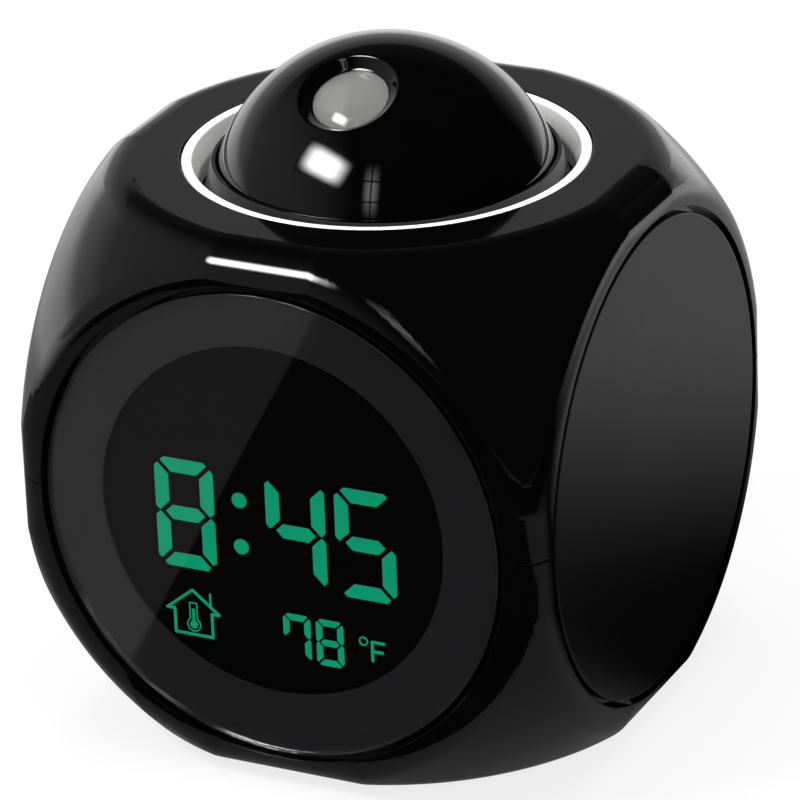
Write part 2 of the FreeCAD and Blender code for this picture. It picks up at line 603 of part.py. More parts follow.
house_wall = cut("house_walls",
                 mark("house_outside", "-house_offset", "house_line_height - house_height / 4",
                      "house_width", "house_height"),
                 mark("house_inside", "-house_offset",
                      "house_line_height - house_height / 4 + house_line / 2",
                      "house_width - house_line * 2", "house_height"))


def roof(name, width, height, base):
    """A flat triangle standing on a line of the display."""
    item = doc.addObject("Part::Wedge", name)
    bind(item, Xmin=f"-({width}) / 2", Xmax=f"({width}) / 2", X2min="-segment_gap / 10",
         X2max="segment_gap / 10", Ymin=0, Ymax=height, Zmin=0, Zmax="figure_thickness",
         Z2min=0, Z2max="figure_thickness")
    return place(item, ("-house_offset", "-panel_seat", base), "front")


roof_base = "house_line_height + house_height / 4"
roof_line = cut("roof_line", roof("roof_outside", "roof_width", "roof_height", roof_base),
                roof("roof_inside", "roof_width - house_line * 3.4",
                     "roof_height - house_line * 1.2", roof_base))
chimney = mark("chimney", "chimney_offset - house_offset", f"{roof_base} + chimney_height",
               "house_line", "chimney_height")
figures.append(fuse("house", [house_wall, roof_line]))
figures.append(chimney)


def meter(name, grow, rise):
    """A thermometer: a bulb under a stem, wider all round and taller by given amounts."""
    bulb_line = "house_line_height - bulb_drop"
    height = f"meter_height + ({rise})"
    return fuse(name, [
        rod(f"{name}_bulb", f"bulb_radius + ({grow})", "figure_thickness",
            ("-house_offset", "-panel_seat", bulb_line), "front"),
        mark(f"{name}_stem", "-house_offset", f"{bulb_line} + ({height}) / 2",
             f"meter_stem + ({grow}) * 2", height)])


figures.append(meter("meter", 0, 0))
figures.append(cut("meter_outline", meter("meter_outside", "meter_gap + meter_line",
                                          "meter_room + meter_line"),
                   meter("meter_inside", "meter_gap", "meter_room")))
piece("display_figures", group("display_figures_set", figures))

# White ring in the top opening
ring_profile = [("funnel_radius", "ring_bottom"), ("ring_outer", "ring_bottom"),
                ("ring_outer", "ring_seat"), ("ring_radius", "ring_seat"),
                ("ring_radius", "ring_top"), ("ring_neck", "ring_top"),
                ("funnel_radius", "ring_top - funnel_depth")]
ring_blank = turned("ring_blank", ring_profile)


def radial(name, width, inner, outer, low, height, angle):
    """An upright fin from one radius to another, turned about the middle."""
    item = doc.addObject("Part::Box", name)
    bind(item, Length=f"({outer}) - ({inner})", Width=width, Height=height)
    turn = math.radians(angle)
    item.Placement = FreeCAD.Placement(FreeCAD.Vector(), FreeCAD.Rotation(Z_AXIS, angle))
    cosine, sine = round(math.cos(turn), 12), round(math.sin(turn), 12)
    item.setExpression("Placement.Base.x", formula(f"({inner}) * {cosine} + ({width}) / 2 * {sine}"))
    item.setExpression("Placement.Base.y", formula(f"({inner}) * {sine} - ({width}) / 2 * {cosine}"))
    item.setExpression("Placement.Base.z", formula(low))
    return item


DIAGONALS = (45, 135, 225, 315)
key_slots = [radial(f"key_slot_{angle}", "key_slot_width", "collar_radius", "ring_outer + fit_gap",
                    "ring_bottom - slip_gap", "ring_seat - ring_bottom + slip_gap", angle)
             for angle in DIAGONALS]
piece("light_ring", cut("light_ring_body", ring_blank, *key_slots))

# Push ring: a spherical collar on a flange with guide keys
collar_band = cut("collar_band",
                  common("collar_zone", [
                      globe("collar_globe", "collar_radius", (0, 0, "ball_rise")),
                      rod("collar_slab", "collar_radius * 2", "collar_top - flange_top",
                          (0, 0, "flange_top"))]),
                  globe("collar_socket", "socket_radius", (0, 0, "ball_rise")))
flange_disc = cut("flange_disc",
                  rod("flange_outside", "flange_radius", "flange_height", (0, 0, "ball_rise")),
                  globe("flange_socket", "socket_radius", (0, 0, "ball_rise")))
guide_keys = [radial(f"guide_key_{angle}", "key_width", "collar_radius - collar_wall * 0.4",
                     "ring_outer", "flange_top - fit_gap", "key_height", angle)
              for angle in DIAGONALS]
bearing_bore = rod("bearing_bore", "pin_radius + pin_clearance", "flange_radius * 4",
                   ("-flange_radius * 2", 0, "ball_rise"), "right")
cradle_screws = []
cradle_pilots = []
cradle_recesses = []
for angle in DIAGONALS:
    cosine, sine = math.cos(math.radians(angle)), math.sin(math.radians(angle))
    at = (f"cradle_screw_ring * {cosine:.9f}", f"cradle_screw_ring * {sine:.9f}",
          "cradle_bottom + cradle_screw_sink")
    cradle_screws.append(screw(f"cradle_screw_{angle}", "cradle_screw_radius",
                               "cradle_screw_length - cradle_screw_sink", "cradle_screw_head",
                               "cradle_screw_sink - fit_gap", at, "up"))
    cradle_pilots.append(rod(f"cradle_pilot_{angle}", "cradle_screw_radius",
                             "cradle_screw_length - cradle_screw_sink + slip_gap", at))
    cradle_recesses.append(rod(f"cradle_recess_{angle}", "cradle_screw_head + slip_gap",
                               "cradle_screw_sink + fit_gap", at[:2] + ("cradle_bottom - fit_gap",)))
push_blank = fuse("push_blank", [collar_band, flange_disc] + guide_keys)
piece("push_ring", cut("push_ring_body", push_blank, bearing_bore, *cradle_pilots))
cradle_blank = cut("cradle_blank",
                   rod("cradle_outside", "flange_radius", "cradle_height", (0, 0, "cradle_bottom")),
                   globe("cradle_socket", "socket_radius", (0, 0, "ball_rise")))
piece("ball_cradle", cut("ball_cradle_body", cradle_blank, bearing_bore, *cradle_pilots,
                         *cradle_recesses))
piece("cradle_screws", group("cradle_screws_set", cradle_screws))

# Switch board under the cradle, with rubber domes
talk_board_disc = common("talk_board_disc", [
    rod("talk_board_round", "talk_board_radius", "board_thickness", (0, 0, "talk_board_bottom")),
    slab("talk_board_square", (0, 0, "talk_board_bottom + board_thickness / 2"),
         ("talk_board_x * 2", "talk_board_y * 2", "board_thickness"))])
talk_screw_spots = [(f"talk_post_offset * {sx}", f"talk_post_offset * {sy}", "talk_board_bottom")
                    for sx, sy in CORNERS]
talk_hole_set = [rod(f"talk_hole_{number}", "talk_screw_radius", "board_thickness", at)
                 for number, at in enumerate(talk_screw_spots)]
piece("switch_board", cut("switch_board_body", talk_board_disc,
                          rod("talk_board_eye", "talk_board_hole", "board_thickness",
                              (0, 0, "talk_board_bottom")), *talk_hole_set))
piece("switch_board_screws", group("switch_board_screws_set", [
    screw(f"talk_screw_{number}", "talk_screw_radius", "talk_screw_length", "talk_screw_head",
          "display_screw_head_height", at, "up") for number, at in enumerate(talk_screw_spots)]))
piece("return_domes", group("return_domes_set", [
    taper(f"dome_{number}", "dome_radius", "dome_top_radius", "dome_height",
          (f"dome_ring * {x}", f"dome_ring * {y}", "talk_board_top"))
    for number, (x, y) in enumerate(((1, 0), (0, 1), (-1, 0), (0, -1)))]))


# Projector ball, built upright along its lens axis and then tilted forward
def tilted(label, item):
    turn = FreeCAD.Rotation(X_AXIS, value_of("ball_tilt"))
    item.Placement = FreeCAD.Placement(FreeCAD.Vector(), turn)
    item.setExpression("Placement.Base.z", formula("ball_rise"))
    item.setExpression("Placement.Rotation.Angle", formula("ball_tilt"))
    return piece(label, item)


ball_skin = cut("ball_skin", globe("ball_outside", "ball_radius"), globe("ball_hollow", "ball_inner"))
pin_hole = rod("pin_hole", "pin_radius", "ball_radius * 4", ("-ball_radius * 2", 0, 0), "right")
upper_space = block("upper_space", ("-ball_radius * 2", "-ball_radius * 2", 0),
                    ("ball_radius * 4", "ball_radius * 4", "ball_radius * 2"))
lower_space = block("lower_space", ("-ball_radius * 2", "-ball_radius * 2", "-ball_radius * 2"),
                    ("ball_radius * 4", "ball_radius * 4", "ball_radius * 2"))
port_slope = "((port_radius - port_floor) / port_depth)"
port_cone = taper("port_cone", "port_floor", f"port_radius + {port_slope} * port_depth",
                  "port_depth * 2", (0, 0, "port_rim - port_depth"))
port_hole = rod("port_hole", "port_bore", "ball_radius", (0, 0, "projector_lens_height - port_depth"))
ball_groove = cut("ball_groove",
                  slab("ball_groove_slab", (0, 0, 0),
                       ("ball_radius * 4", "ball_radius * 4", "ball_seam")),
                  globe("ball_groove_floor", "ball_radius - ball_seam"))
tilted("ball_upper", cut("ball_upper_body", common("ball_upper_skin", [ball_skin, upper_space]),
                         port_cone, port_hole, pin_hole, ball_groove))
led_posts = [rod(f"led_post_{side}", "ball_post_radius", "ball_radius + led_board_low",
                 (f"ball_post_offset * {side}", 0, "-ball_radius")) for side in (-1, 1)]
led_screw_spots = [(f"ball_post_offset * {side}", 0, "led_board_top") for side in (-1, 1)]
led_pilots = [rod(f"led_pilot_{number}", "ball_screw_radius", "ball_screw_length + slip_gap",
                  at, "down") for number, at in enumerate(led_screw_spots)]
ball_lower_solid = fuse("ball_lower_solid", [
    common("ball_lower_skin", [ball_skin, lower_space]),
    common("ball_lower_posts", [globe("ball_post_trim", "ball_radius"),
                                group("led_post_set", led_posts)])])
tilted("ball_lower", cut("ball_lower_body", ball_lower_solid, pin_hole, ball_groove, *led_pilots))
tilted("pivot_pins", group("pivot_pins_set", [
    rod(f"pivot_pin_{side}", "pin_radius", "flange_radius - fit_gap - ball_inner + fit_gap",
        (f"(ball_inner - fit_gap) * {sign}", 0, 0), side)
    for side, sign in (("right", 1), ("left", -1))]))
tilted("projection_lens", common("projection_lens_body", [
    rod("lens_blank", "projector_lens_radius", "projector_lens_crown",
        (0, 0, "projector_lens_height")),
    globe("lens_crown", "projector_lens_crown", (0, 0, "lens_crown_centre"))]))
tube_profile = [("tube_bore", "tube_low"), ("tube_radius", "tube_low"),
                ("tube_radius", "projector_lens_height"), ("tube_lip", "projector_lens_height"),
                ("tube_lip", "projector_lens_height - retainer_height"),
                ("tube_bore", "projector_lens_height - retainer_height")]
tilted("lens_tube", turned("lens_tube_body", tube_profile))
tilted("projection_film", group("film_body", [
    slab("film_plate", (0, 0, "film_height"),
         ("film_half * 2", "film_half * 2", "film_thickness"))]))
tilted("condenser_lens", common("condenser_body", [
    rod("condenser_blank", "tube_bore - slip_gap / 2", "condenser_thickness",
        (0, 0, "condenser_height")),
    globe("condenser_crown", "condenser_crown_radius",
          (0, 0, "condenser_height + condenser_thickness - condenser_crown_radius"))]))
tilted("led_board", cut("led_board_body", rod("led_board_disc", "led_board_radius", "board_thickness",
                                              (0, 0, "led_board_low")), *led_pilots))
tilted("projection_led", fuse("projection_led_body", [
    rod("led_base", "led_base_radius", "led_body_height / 2", (0, 0, "led_board_top")),
    rod("led_neck", "led_dome_radius", "led_body_height - led_dome_radius",
        (0, 0, "led_board_top")),
    globe("led_dome", "led_dome_radius",
          (0, 0, "led_board_top + led_body_height - led_dome_radius"))]))
tilted("led_board_screws", group("led_board_screws_set", [
    screw(f"led_screw_{number}", "ball_screw_radius", "ball_screw_length", "ball_screw_head",
          "display_screw_head_height", at, "down") for number, at in enumerate(led_screw_spots)]))

# Rear panel with four keys, their board, and the speaker behind slots
KEYS = {"clock_key": -1.5, "alarm_key": -0.5, "minus_key": 0.5, "plus_key": 1.5}
rear_posts = []
rear_pilots = []
rear_screw_spots = []
for number, (sx, sz) in enumerate(CORNERS):
    x, z = f"rear_post_spread * {sx}", f"key_line + rear_post_rise * {sz}"
    rear_posts.append(rod(f"rear_post_{number}", "rear_post_radius",
                          "panel_seat - rear_board_front", (x, "rear_board_front", z), "rear"))
    rear_screw_spots.append((x, "rear_board_back", z))
    rear_pilots.append(rod(f"rear_pilot_{number}", "rear_screw_radius",
                           "rear_screw_length + slip_gap", (x, "rear_board_back", z), "rear"))
key_pocket = pill("key_pocket", "key_count_spacing * 3 + key_cap_width + key_pocket_margin * 2",
                  "key_cap_height + key_pocket_margin * 1.4", "wall",
                  (0, "key_pocket_floor", "key_line"), "rear")
key_windows = [pill(f"{name}_window", "key_cap_width + key_gap * 2", "key_cap_height + key_gap * 2",
                    "wall * 2", (f"key_count_spacing * {step}", "panel_seat - wall / 2", "key_line"),
                    "rear") for name, step in KEYS.items()]
speaker_slots = []
for step in range(-3, 4):
    reach = f"sqrt(slot_reach ^ 2 - (slot_pitch * {step}) ^ 2)"
    speaker_slots.append(slab(f"speaker_slot_{step + 3}",
                              (f"slot_pitch * {step}", "panel_seat", "speaker_line"),
                              ("slot_width", "wall * 2", f"{reach} * 2")))
speaker_collar = tube("speaker_collar", "speaker_radius + slip_gap / 2 + speaker_collar_wall",
                      "speaker_radius + slip_gap / 2", "speaker_collar_depth",
                      (0, "panel_seat - speaker_collar_depth", "speaker_line"), "rear")
rear_blank = fuse("rear_blank", [side_panel("rear"), speaker_collar] + rear_posts)
piece("rear_panel", cut("rear_panel_holes", rear_blank, key_pocket, *key_windows, *speaker_slots,
                        *rear_pilots))
for name, step in KEYS.items():
    x = f"key_count_spacing * {step}"
    cap = pill(f"{name}_cap", "key_cap_width", "key_cap_height", "panel_face - key_flange_front",
               (x, "key_flange_front", "key_line"), "rear")
    lip = pill(f"{name}_lip", "key_cap_width + key_flange_lip * 2",
               "key_cap_height + key_flange_lip * 2", "key_flange_depth",
               (x, "key_flange_back", "key_line"), "rear")
    piece(name, fuse(f"{name}_body", [cap, lip]))
piece("key_switches", group("key_switches_set", [fuse(f"{name}_switch", [
    slab(f"{name}_switch_case", (f"key_count_spacing * {step}",
                                 "rear_board_front + switch_height / 2", "key_line"),
         ("switch_size", "switch_height", "switch_size")),
    rod(f"{name}_switch_stem", "switch_stem_radius", "switch_stem + switch_height / 2",
        (f"key_count_spacing * {step}", "rear_board_front + switch_height / 2", "key_line"), "rear")])
    for name, step in KEYS.items()]))
rear_board_plate = slab("rear_board_plate", (0, "rear_board_back + board_thickness / 2", "key_line"),
                        ("rear_board_half * 2", "board_thickness", "rear_board_height"))
piece("key_board", cut("key_board_body", rear_board_plate, *rear_pilots))
piece("key_board_screws", group("key_board_screws_set", [
    screw(f"rear_screw_{number}", "rear_screw_radius", "rear_screw_length", "rear_screw_head",
          "rear_screw_head_height", at, "rear") for number, at in enumerate(rear_screw_spots)]))
basket_profile = [("magnet_radius", 0), ("speaker_radius - speaker_rim", "speaker_depth - speaker_rim"),
                  ("speaker_radius - speaker_rim", "speaker_depth"),
                  ("speaker_radius", "speaker_depth"),
                  ("speaker_radius", "speaker_depth - speaker_rim"),
                  ("magnet_radius + speaker_wall", "-speaker_wall"), ("speaker_wall", "-speaker_wall"),
                  ("speaker_wall", 0)]
piece("speaker_basket", turned("speaker_basket_body", basket_profile,
                               (0, "speaker_back", "speaker_line"), "rear"))
cone_profile = [("dust_cap_radius", "cone_gap"),
                ("speaker_radius - speaker_rim - cone_gap", "speaker_depth - cone_gap"),
                ("speaker_radius - speaker_rim - cone_gap", "speaker_depth - cone_gap + cone_thickness"),
                ("dust_cap_radius", "cone_gap + cone_thickness"),
                ("speaker_wall / 4", "cone_gap * 3 + cone_thickness"), ("speaker_wall / 4", "cone_gap * 3")]
piece("speaker_cone", turned("speaker_cone_body", cone_profile,
                             (0, "speaker_back", "speaker_line"), "rear"))
piece("speaker_magnet", rod("speaker_magnet_body", "magnet_radius", "magnet_depth",
                            (0, "speaker_back - speaker_wall - magnet_depth", "speaker_line"),
                            "rear"))

# Main board on four standoffs, with what it carries
standoff_spots = [(f"standoff_x * {sx}", f"standoff_y * {sy}", "main_board_top")
                  for sx, sy in CORNERS]
main_holes = [rod(f"main_hole_{number}", "board_screw_radius", "board_thickness * 2", at, "down")
              for number, at in enumerate(standoff_spots)]
main_plate = slab("main_plate", (0, 0, "main_board_rise + board_thickness / 2"),
                  ("main_board_x * 2", "main_board_y * 2", "board_thickness"))
piece("main_board", cut("main_board_body", main_plate, *main_holes))
piece("main_board_screws", group("main_board_screws_set", [
    screw(f"main_screw_{number}", "board_screw_radius", "board_screw_length", "board_screw_head",
          "board_screw_head_height", at, "down") for number, at in enumerate(standoff_spots)]))
piece("speech_chip", slab("speech_chip_body", (0, 0, "main_board_top + chip_height / 2"),
                          ("chip_size", "chip_size", "chip_height")))
piece("clock_crystal", rod("clock_crystal_body", "crystal_width / 2", "crystal_length",
                           ("chip_size", "chip_size", "main_board_top + crystal_width / 2"), "right"))
piece("capacitors", group("capacitors_set", [
    rod(f"capacitor_{side}", "capacitor_radius", "capacitor_height",
        ("-capacitor_offset", f"capacitor_offset / 2 * {side}", "main_board_top"))
    for side in (-1, 1)]))
piece("lead_sockets", group("lead_sockets_set", [
    block(f"lead_socket_{side}", ("capacitor_offset",
                                  f"capacitor_offset / 2 * {side} - socket_width / 2",
                                  "main_board_top"),
          ("socket_length / 2", "socket_width", "socket_height")) for side in (-1, 1)]))
piece("temperature_sensor", fuse("temperature_sensor_body", [
    rod("sensor_leg", "sensor_radius / 3", "sensor_length",
        ("-capacitor_offset", 0, "main_board_top")),
    globe("sensor_bead", "sensor_radius",
          ("-capacitor_offset", 0, "main_board_top + sensor_length"))]))
piece("display_ribbon", fuse("display_ribbon_body", [
    block("ribbon_drop", ("-ribbon_width / 2", "-display_board_back", "main_board_top"),
          ("ribbon_width", "ribbon_thickness", "ribbon_rise")),
    block("ribbon_foot", ("-ribbon_width / 2", "-display_board_back", "main_board_top"),
          ("ribbon_width", "display_board_back - main_board_y + ribbon_run",
           "ribbon_thickness"))]))

# Three cells in the base, their contacts and the hinged door
CELL_ROWS = ((-1, 1), (0, -1), (1, 1))
cells = []
leaves = []
plates = []
for row, way in CELL_ROWS:
    side, other = ("right", "left") if way > 0 else ("left", "right")
    line = (f"cell_pitch * {row}", "cell_rise")
    start = "bay_half_x - contact_thickness - spring_space"
    can = rod(f"cell_can_{row + 1}", "cell_radius", "cell_length",
              (f"-({start}) * {way}", *line), side)
    nub = rod(f"cell_nub_{row + 1}", "cell_nub_radius", "cell_length + cell_nub",
              (f"-({start}) * {way}", *line), side)
    cells.append(fuse(f"cell_{row + 1}", [can, nub]))
    for end in (-1, 1):
        low = "-bay_half_x" if end < 0 else "bay_half_x - contact_thickness"
        plates.append(block(f"contact_{row + 1}_{end + 1}",
                            (low, f"{line[0]} - cell_radius * 0.8", "cell_rise - cell_radius * 0.8"),
                            ("contact_thickness", "cell_radius * 1.6", "cell_radius * 1.6")))
    leaf_middle = (f"-({start} + leaf_radius) * {way}", line[0], "cell_rise - leaf_width / 2")
    hoop = tube(f"leaf_hoop_{row + 1}", "leaf_radius", "leaf_radius - leaf_thickness", "leaf_width",
                leaf_middle)
    room = slab(f"leaf_room_{row + 1}", (f"-({start} + spring_space / 2) * {way}", *line),
                ("spring_space", "leaf_radius * 3", "leaf_width"))
    leaves.append(common(f"leaf_{row + 1}", [hoop, room]))
piece("battery_cells", group("battery_cells_set", cells))
piece("contact_plates", group("contact_plates_set", plates))
piece("contact_leaves", group("contact_leaves_set", leaves))

door_plate = doc.addObject("PartDesign::Body", "battery_door_body")
door_sketch = door_plate.newObject("Sketcher::SketchObject", "door_outline")
door_plane = next(f for f in door_plate.Origin.OriginFeatures if f.Role == "XY_Plane")
door_sketch.AttachmentSupport = [(door_plane, "")]
door_sketch.MapMode = "FlatFace"
door_corners = [FreeCAD.Vector(value_of("door_half_x") * sx, value_of(y), 0)
                for sx, y in ((-1, "-door_half_y"), (1, "-door_half_y"), (1, "door_axis_y"),
                              (-1, "door_axis_y"))]
for i, corner in enumerate(door_corners):
    door_sketch.addGeometry(Part.LineSegment(corner, door_corners[(i + 1) % 4]), False)
for i in range(4):
    door_sketch.addConstraint(Sketcher.Constraint("Coincident", i, 2, (i + 1) % 4, 1))
for i, (x, y) in enumerate((("-door_half_x", "-door_half_y"), ("door_half_x", "-door_half_y"),
                            ("door_half_x", "door_axis_y"), ("-door_half_x", "door_axis_y"))):
    for kind, size, now in (("DistanceX", x, door_corners[i].x), ("DistanceY", y, door_corners[i].y)):
        number = door_sketch.addConstraint(Sketcher.Constraint(kind, -1, 1, i, 1, now))
        door_sketch.setExpression(f"Constraints[{number}]", formula(size))
door_pad = door_plate.newObject("PartDesign::Pad", "door_pad")
door_pad.Profile = door_sketch
bind(door_pad, Length="door_thickness")
door_sketch.Visibility = False
place(door_plate, (0, 0, "foot_height"))
door_edge = rod("door_edge", "door_thickness / 2", "door_half_x * 2",
                ("-door_half_x", "door_axis_y", "door_axis_rise"), "right")
door_pins = rod("door_pins", "door_pin_radius", "(door_half_x + door_pin_length) * 2",
                ("-door_half_x - door_pin_length", "door_axis_y", "door_axis_rise"), "right")
piece("battery_door", fuse("battery_door_solid", [door_plate, door_edge, door_pins]))

# Check every feature, then write one file per sub-part
doc.recompute()
failed = [item.Label for item in doc.Objects if {"Invalid", "Error"} & set(item.State)]
for item in pieces:
    if item.Shape.isNull() or not item.Shape.isValid() or not item.Shape.Solids:
        failed.append(item.Label)
if failed:
    raise RuntimeError("not built: " + ", ".join(sorted(set(failed))))
os.makedirs("parts", exist_ok=True)
for item in pieces:
    item.Shape.exportStep(f"parts/{item.Label}.step")
print(len(pieces), "sub-parts written")
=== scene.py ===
import json
import math

import bmesh
import bpy
from mathutils import Matrix, Vector


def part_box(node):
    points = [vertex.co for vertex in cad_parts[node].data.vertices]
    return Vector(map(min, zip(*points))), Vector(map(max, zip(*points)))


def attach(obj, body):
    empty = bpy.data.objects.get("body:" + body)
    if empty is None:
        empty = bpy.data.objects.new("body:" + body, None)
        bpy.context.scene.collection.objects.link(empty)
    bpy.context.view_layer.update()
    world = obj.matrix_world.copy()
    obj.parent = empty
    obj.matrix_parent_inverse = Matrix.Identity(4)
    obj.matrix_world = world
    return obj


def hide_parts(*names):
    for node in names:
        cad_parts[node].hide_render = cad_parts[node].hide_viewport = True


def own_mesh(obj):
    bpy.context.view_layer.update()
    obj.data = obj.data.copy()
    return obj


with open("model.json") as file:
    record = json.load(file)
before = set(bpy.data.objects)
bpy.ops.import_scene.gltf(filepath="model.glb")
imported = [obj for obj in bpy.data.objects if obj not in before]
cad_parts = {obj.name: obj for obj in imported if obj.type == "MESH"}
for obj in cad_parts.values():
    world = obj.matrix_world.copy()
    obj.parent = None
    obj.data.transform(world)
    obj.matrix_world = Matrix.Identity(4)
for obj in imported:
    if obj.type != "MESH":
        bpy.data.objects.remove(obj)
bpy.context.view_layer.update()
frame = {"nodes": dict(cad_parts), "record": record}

MM = 0.001
record = frame["record"]
BODY_OF = {node: body for body, nodes in record["behaviour"]["bodies"].items() for node in nodes}
SLOT_OF = {row["node"]: row["material_slot"] for row in record["subparts"]}

# Sizes of the clock, repeated from the model in millimetres
BODY_MIDDLE = 42.5
FACE = 42.4
PANEL_RADIUS = 36.2
PANEL_THICKNESS = 1.7
PANEL_RING = (31.5, 33.2, 2.2)
LENS_THICKNESS = 1.2
LENS_AIR = 0.03
BALL_CENTRE = 75.65
BALL_RADIUS = 26.35
BALL_INNER = 24.35
BALL_SEAM = 0.2
BALL_TILT = 27.0
PORT_RADIUS = 7.4
PORT_FLOOR = 5.95
PORT_BORE = 5.7
PORT_DEPTH = 1.3
PORT_SLOPE = 0.15
SOCKET_RADIUS = 26.65
COLLAR_RADIUS = 27.2
COLLAR_TOP = 84.55
FLANGE_RADIUS = 31.0
FLANGE_TOP = 78.85
RING_TOP = 84.8
RING_SEAT = 83.9
RING_RADII = (27.7, 28.6, 29.1, 30.1)
RING_LOW = 79.15
RING_FUNNEL = 3.2
LENS_RADIUS = 5.6
LENS_SEAT = 22.6
LENS_EDGE = 1.2
LENS_CROWN = 9.5
KEY_LINE = 60.0
KEY_PITCH = 12.0
KEYS = {"clock_key": -1.5, "alarm_key": -0.5, "minus_key": 0.5, "plus_key": 1.5}


# Node tools

SKIN_DEPTH = 0.00002
COAT_ROUGHNESS = 0.03
GLOSS_FINENESS = 6
METAL_GRAIN, CLEAR_GRAIN, CELL_GRAIN = 900.0, 300.0, 260.0
CLEAR_UNEVENNESS = 1.6
SHADOW_TINT = 0.9
FIGURE_BASE, FIGURE_DIM = (0.002, 0.02, 0.012), 0.93


def new_material(name):
    material = bpy.data.materials.new(name)
    material.use_nodes = True
    tree = material.node_tree
    return material, tree, tree.nodes["Principled BSDF"]


def add(tree, kind, **settings):
    node = tree.nodes.new(kind)
    for key, value in settings.items():
        setattr(node, key, value)
    return node


def noise(tree, scale, detail=4.0, rough=0.6, stretch=None):
    place = add(tree, "ShaderNodeTexCoord")
    node = add(tree, "ShaderNodeTexNoise")
    node.inputs["Scale"].default_value = scale
    node.inputs["Detail"].default_value = detail
    node.inputs["Roughness"].default_value = rough
    source = place.outputs["Object"]
    if stretch:
        mapping = add(tree, "ShaderNodeMapping")
        mapping.inputs["Scale"].default_value = stretch
        tree.links.new(source, mapping.inputs["Vector"])
        source = mapping.outputs["Vector"]
    tree.links.new(source, node.inputs["Vector"])
    return node.outputs["Fac"]


def spread(tree, source, low, high, start=0.3, end=0.7, kind="LINEAR"):
    """Take a value that runs from start to end, and make it run from low to high."""
    node = add(tree, "ShaderNodeMapRange", interpolation_type=kind)
    node.inputs["From Min"].default_value = start
    node.inputs["From Max"].default_value = end
    node.inputs["To Min"].default_value = low
    node.inputs["To Max"].default_value = high
    tree.links.new(source, node.inputs["Value"])
    return node.outputs["Result"]


def tint(tree, source, dark, light, start=0.3, end=0.7):
    """A colour between dark and light, by a value that runs from start to end."""
    node = add(tree, "ShaderNodeValToRGB")
    node.color_ramp.elements[0].position = start
    node.color_ramp.elements[1].position = end
    node.color_ramp.elements[0].color = (*dark, 1)
    node.color_ramp.elements[1].color = (*light, 1)
    tree.links.new(source, node.inputs["Fac"])
    return node.outputs["Color"]


def math_node(tree, operation, *values):
    node = add(tree, "ShaderNodeMath", operation=operation)
    for socket, value in zip(node.inputs, values):
        if isinstance(value, (int, float)):
            socket.default_value = value
        else:
            tree.links.new(value, socket)
    return node.outputs[0]


def skin(tree, shader, source, strength, edge):
    """A moulded skin over edges that are softly rounded."""
    node = add(tree, "ShaderNodeBump")
    node.inputs["Strength"].default_value = strength
    node.inputs["Distance"].default_value = SKIN_DEPTH
    tree.links.new(source, node.inputs["Height"])
    if edge:
        round_off = add(tree, "ShaderNodeBevel", samples=4)
        round_off.inputs["Radius"].default_value = edge
        tree.links.new(round_off.outputs["Normal"], node.inputs["Normal"])
    tree.links.new(node.outputs["Normal"], shader.inputs["Normal"])


def plastic(name, dark, light, rough, grain_scale, grain, coat=0.0, mottle=40.0, ior=1.5,
            edge=0.0, specular=0.5):
    """Moulded plastic: slight colour drift, uneven gloss and a moulded skin."""
    material, tree, shader = new_material(name)
    tree.links.new(tint(tree, noise(tree, mottle), dark, light), shader.inputs["Base Color"])
    tree.links.new(spread(tree, noise(tree, mottle * GLOSS_FINENESS, detail=6.0), *rough),
                   shader.inputs["Roughness"])
    skin(tree, shader, noise(tree, grain_scale, detail=3.0), grain, edge)
    shader.inputs["Coat Weight"].default_value = coat
    shader.inputs["Coat Roughness"].default_value = COAT_ROUGHNESS
    shader.inputs["IOR"].default_value = ior
    shader.inputs["Specular IOR Level"].default_value = specular
    return material


def metal(name, dark, light, rough, stretch=(1, 1, 12)):
    """Plated metal with a stretched grain."""
    material, tree, shader = new_material(name)
    shader.inputs["Metallic"].default_value = 1.0
    grain = noise(tree, METAL_GRAIN, detail=5.0, stretch=stretch)
    tree.links.new(tint(tree, grain, dark, light), shader.inputs["Base Color"])
    tree.links.new(spread(tree, grain, *rough), shader.inputs["Roughness"])
    return material


def clear(name, colour, rough, ior, body=0.0):
    """Clear optical plastic that lets lamp light straight through to what it covers."""
    material, tree, shader = new_material(name)
    shader.inputs["Base Color"].default_value = (*colour, 1)
    shader.inputs["Transmission Weight"].default_value = 1.0 - body
    shader.inputs["IOR"].default_value = ior
    tree.links.new(spread(tree, noise(tree, CLEAR_GRAIN), rough, rough * CLEAR_UNEVENNESS),
                   shader.inputs["Roughness"])
    light = add(tree, "ShaderNodeLightPath")
    through = add(tree, "ShaderNodeBsdfTransparent")
    through.inputs["Color"].default_value = (*[c * SHADOW_TINT for c in colour], 1)
    mix = add(tree, "ShaderNodeMixShader")
    tree.links.new(light.outputs["Is Shadow Ray"], mix.inputs["Fac"])
    tree.links.new(shader.outputs["BSDF"], mix.inputs[1])
    tree.links.new(through.outputs["BSDF"], mix.inputs[2])
    tree.links.new(mix.outputs["Shader"], tree.nodes["Material Output"].inputs["Surface"])
    return material


def lit(name, colour, strength):
    """Lit display figures with the fine unevenness of a liquid crystal cell."""
    material, tree, shader = new_material(name)
    shader.inputs["Base Color"].default_value = (*FIGURE_BASE, 1)
    shader.inputs["Roughness"].default_value = 0.35
    shader.inputs["Specular IOR Level"].default_value = 0.05
    dim = [c * FIGURE_DIM for c in colour]
    tree.links.new(tint(tree, noise(tree, CELL_GRAIN), dim, colour), shader.inputs["Emission Color"])
    shader.inputs["Emission Strength"].default_value = strength
    return material


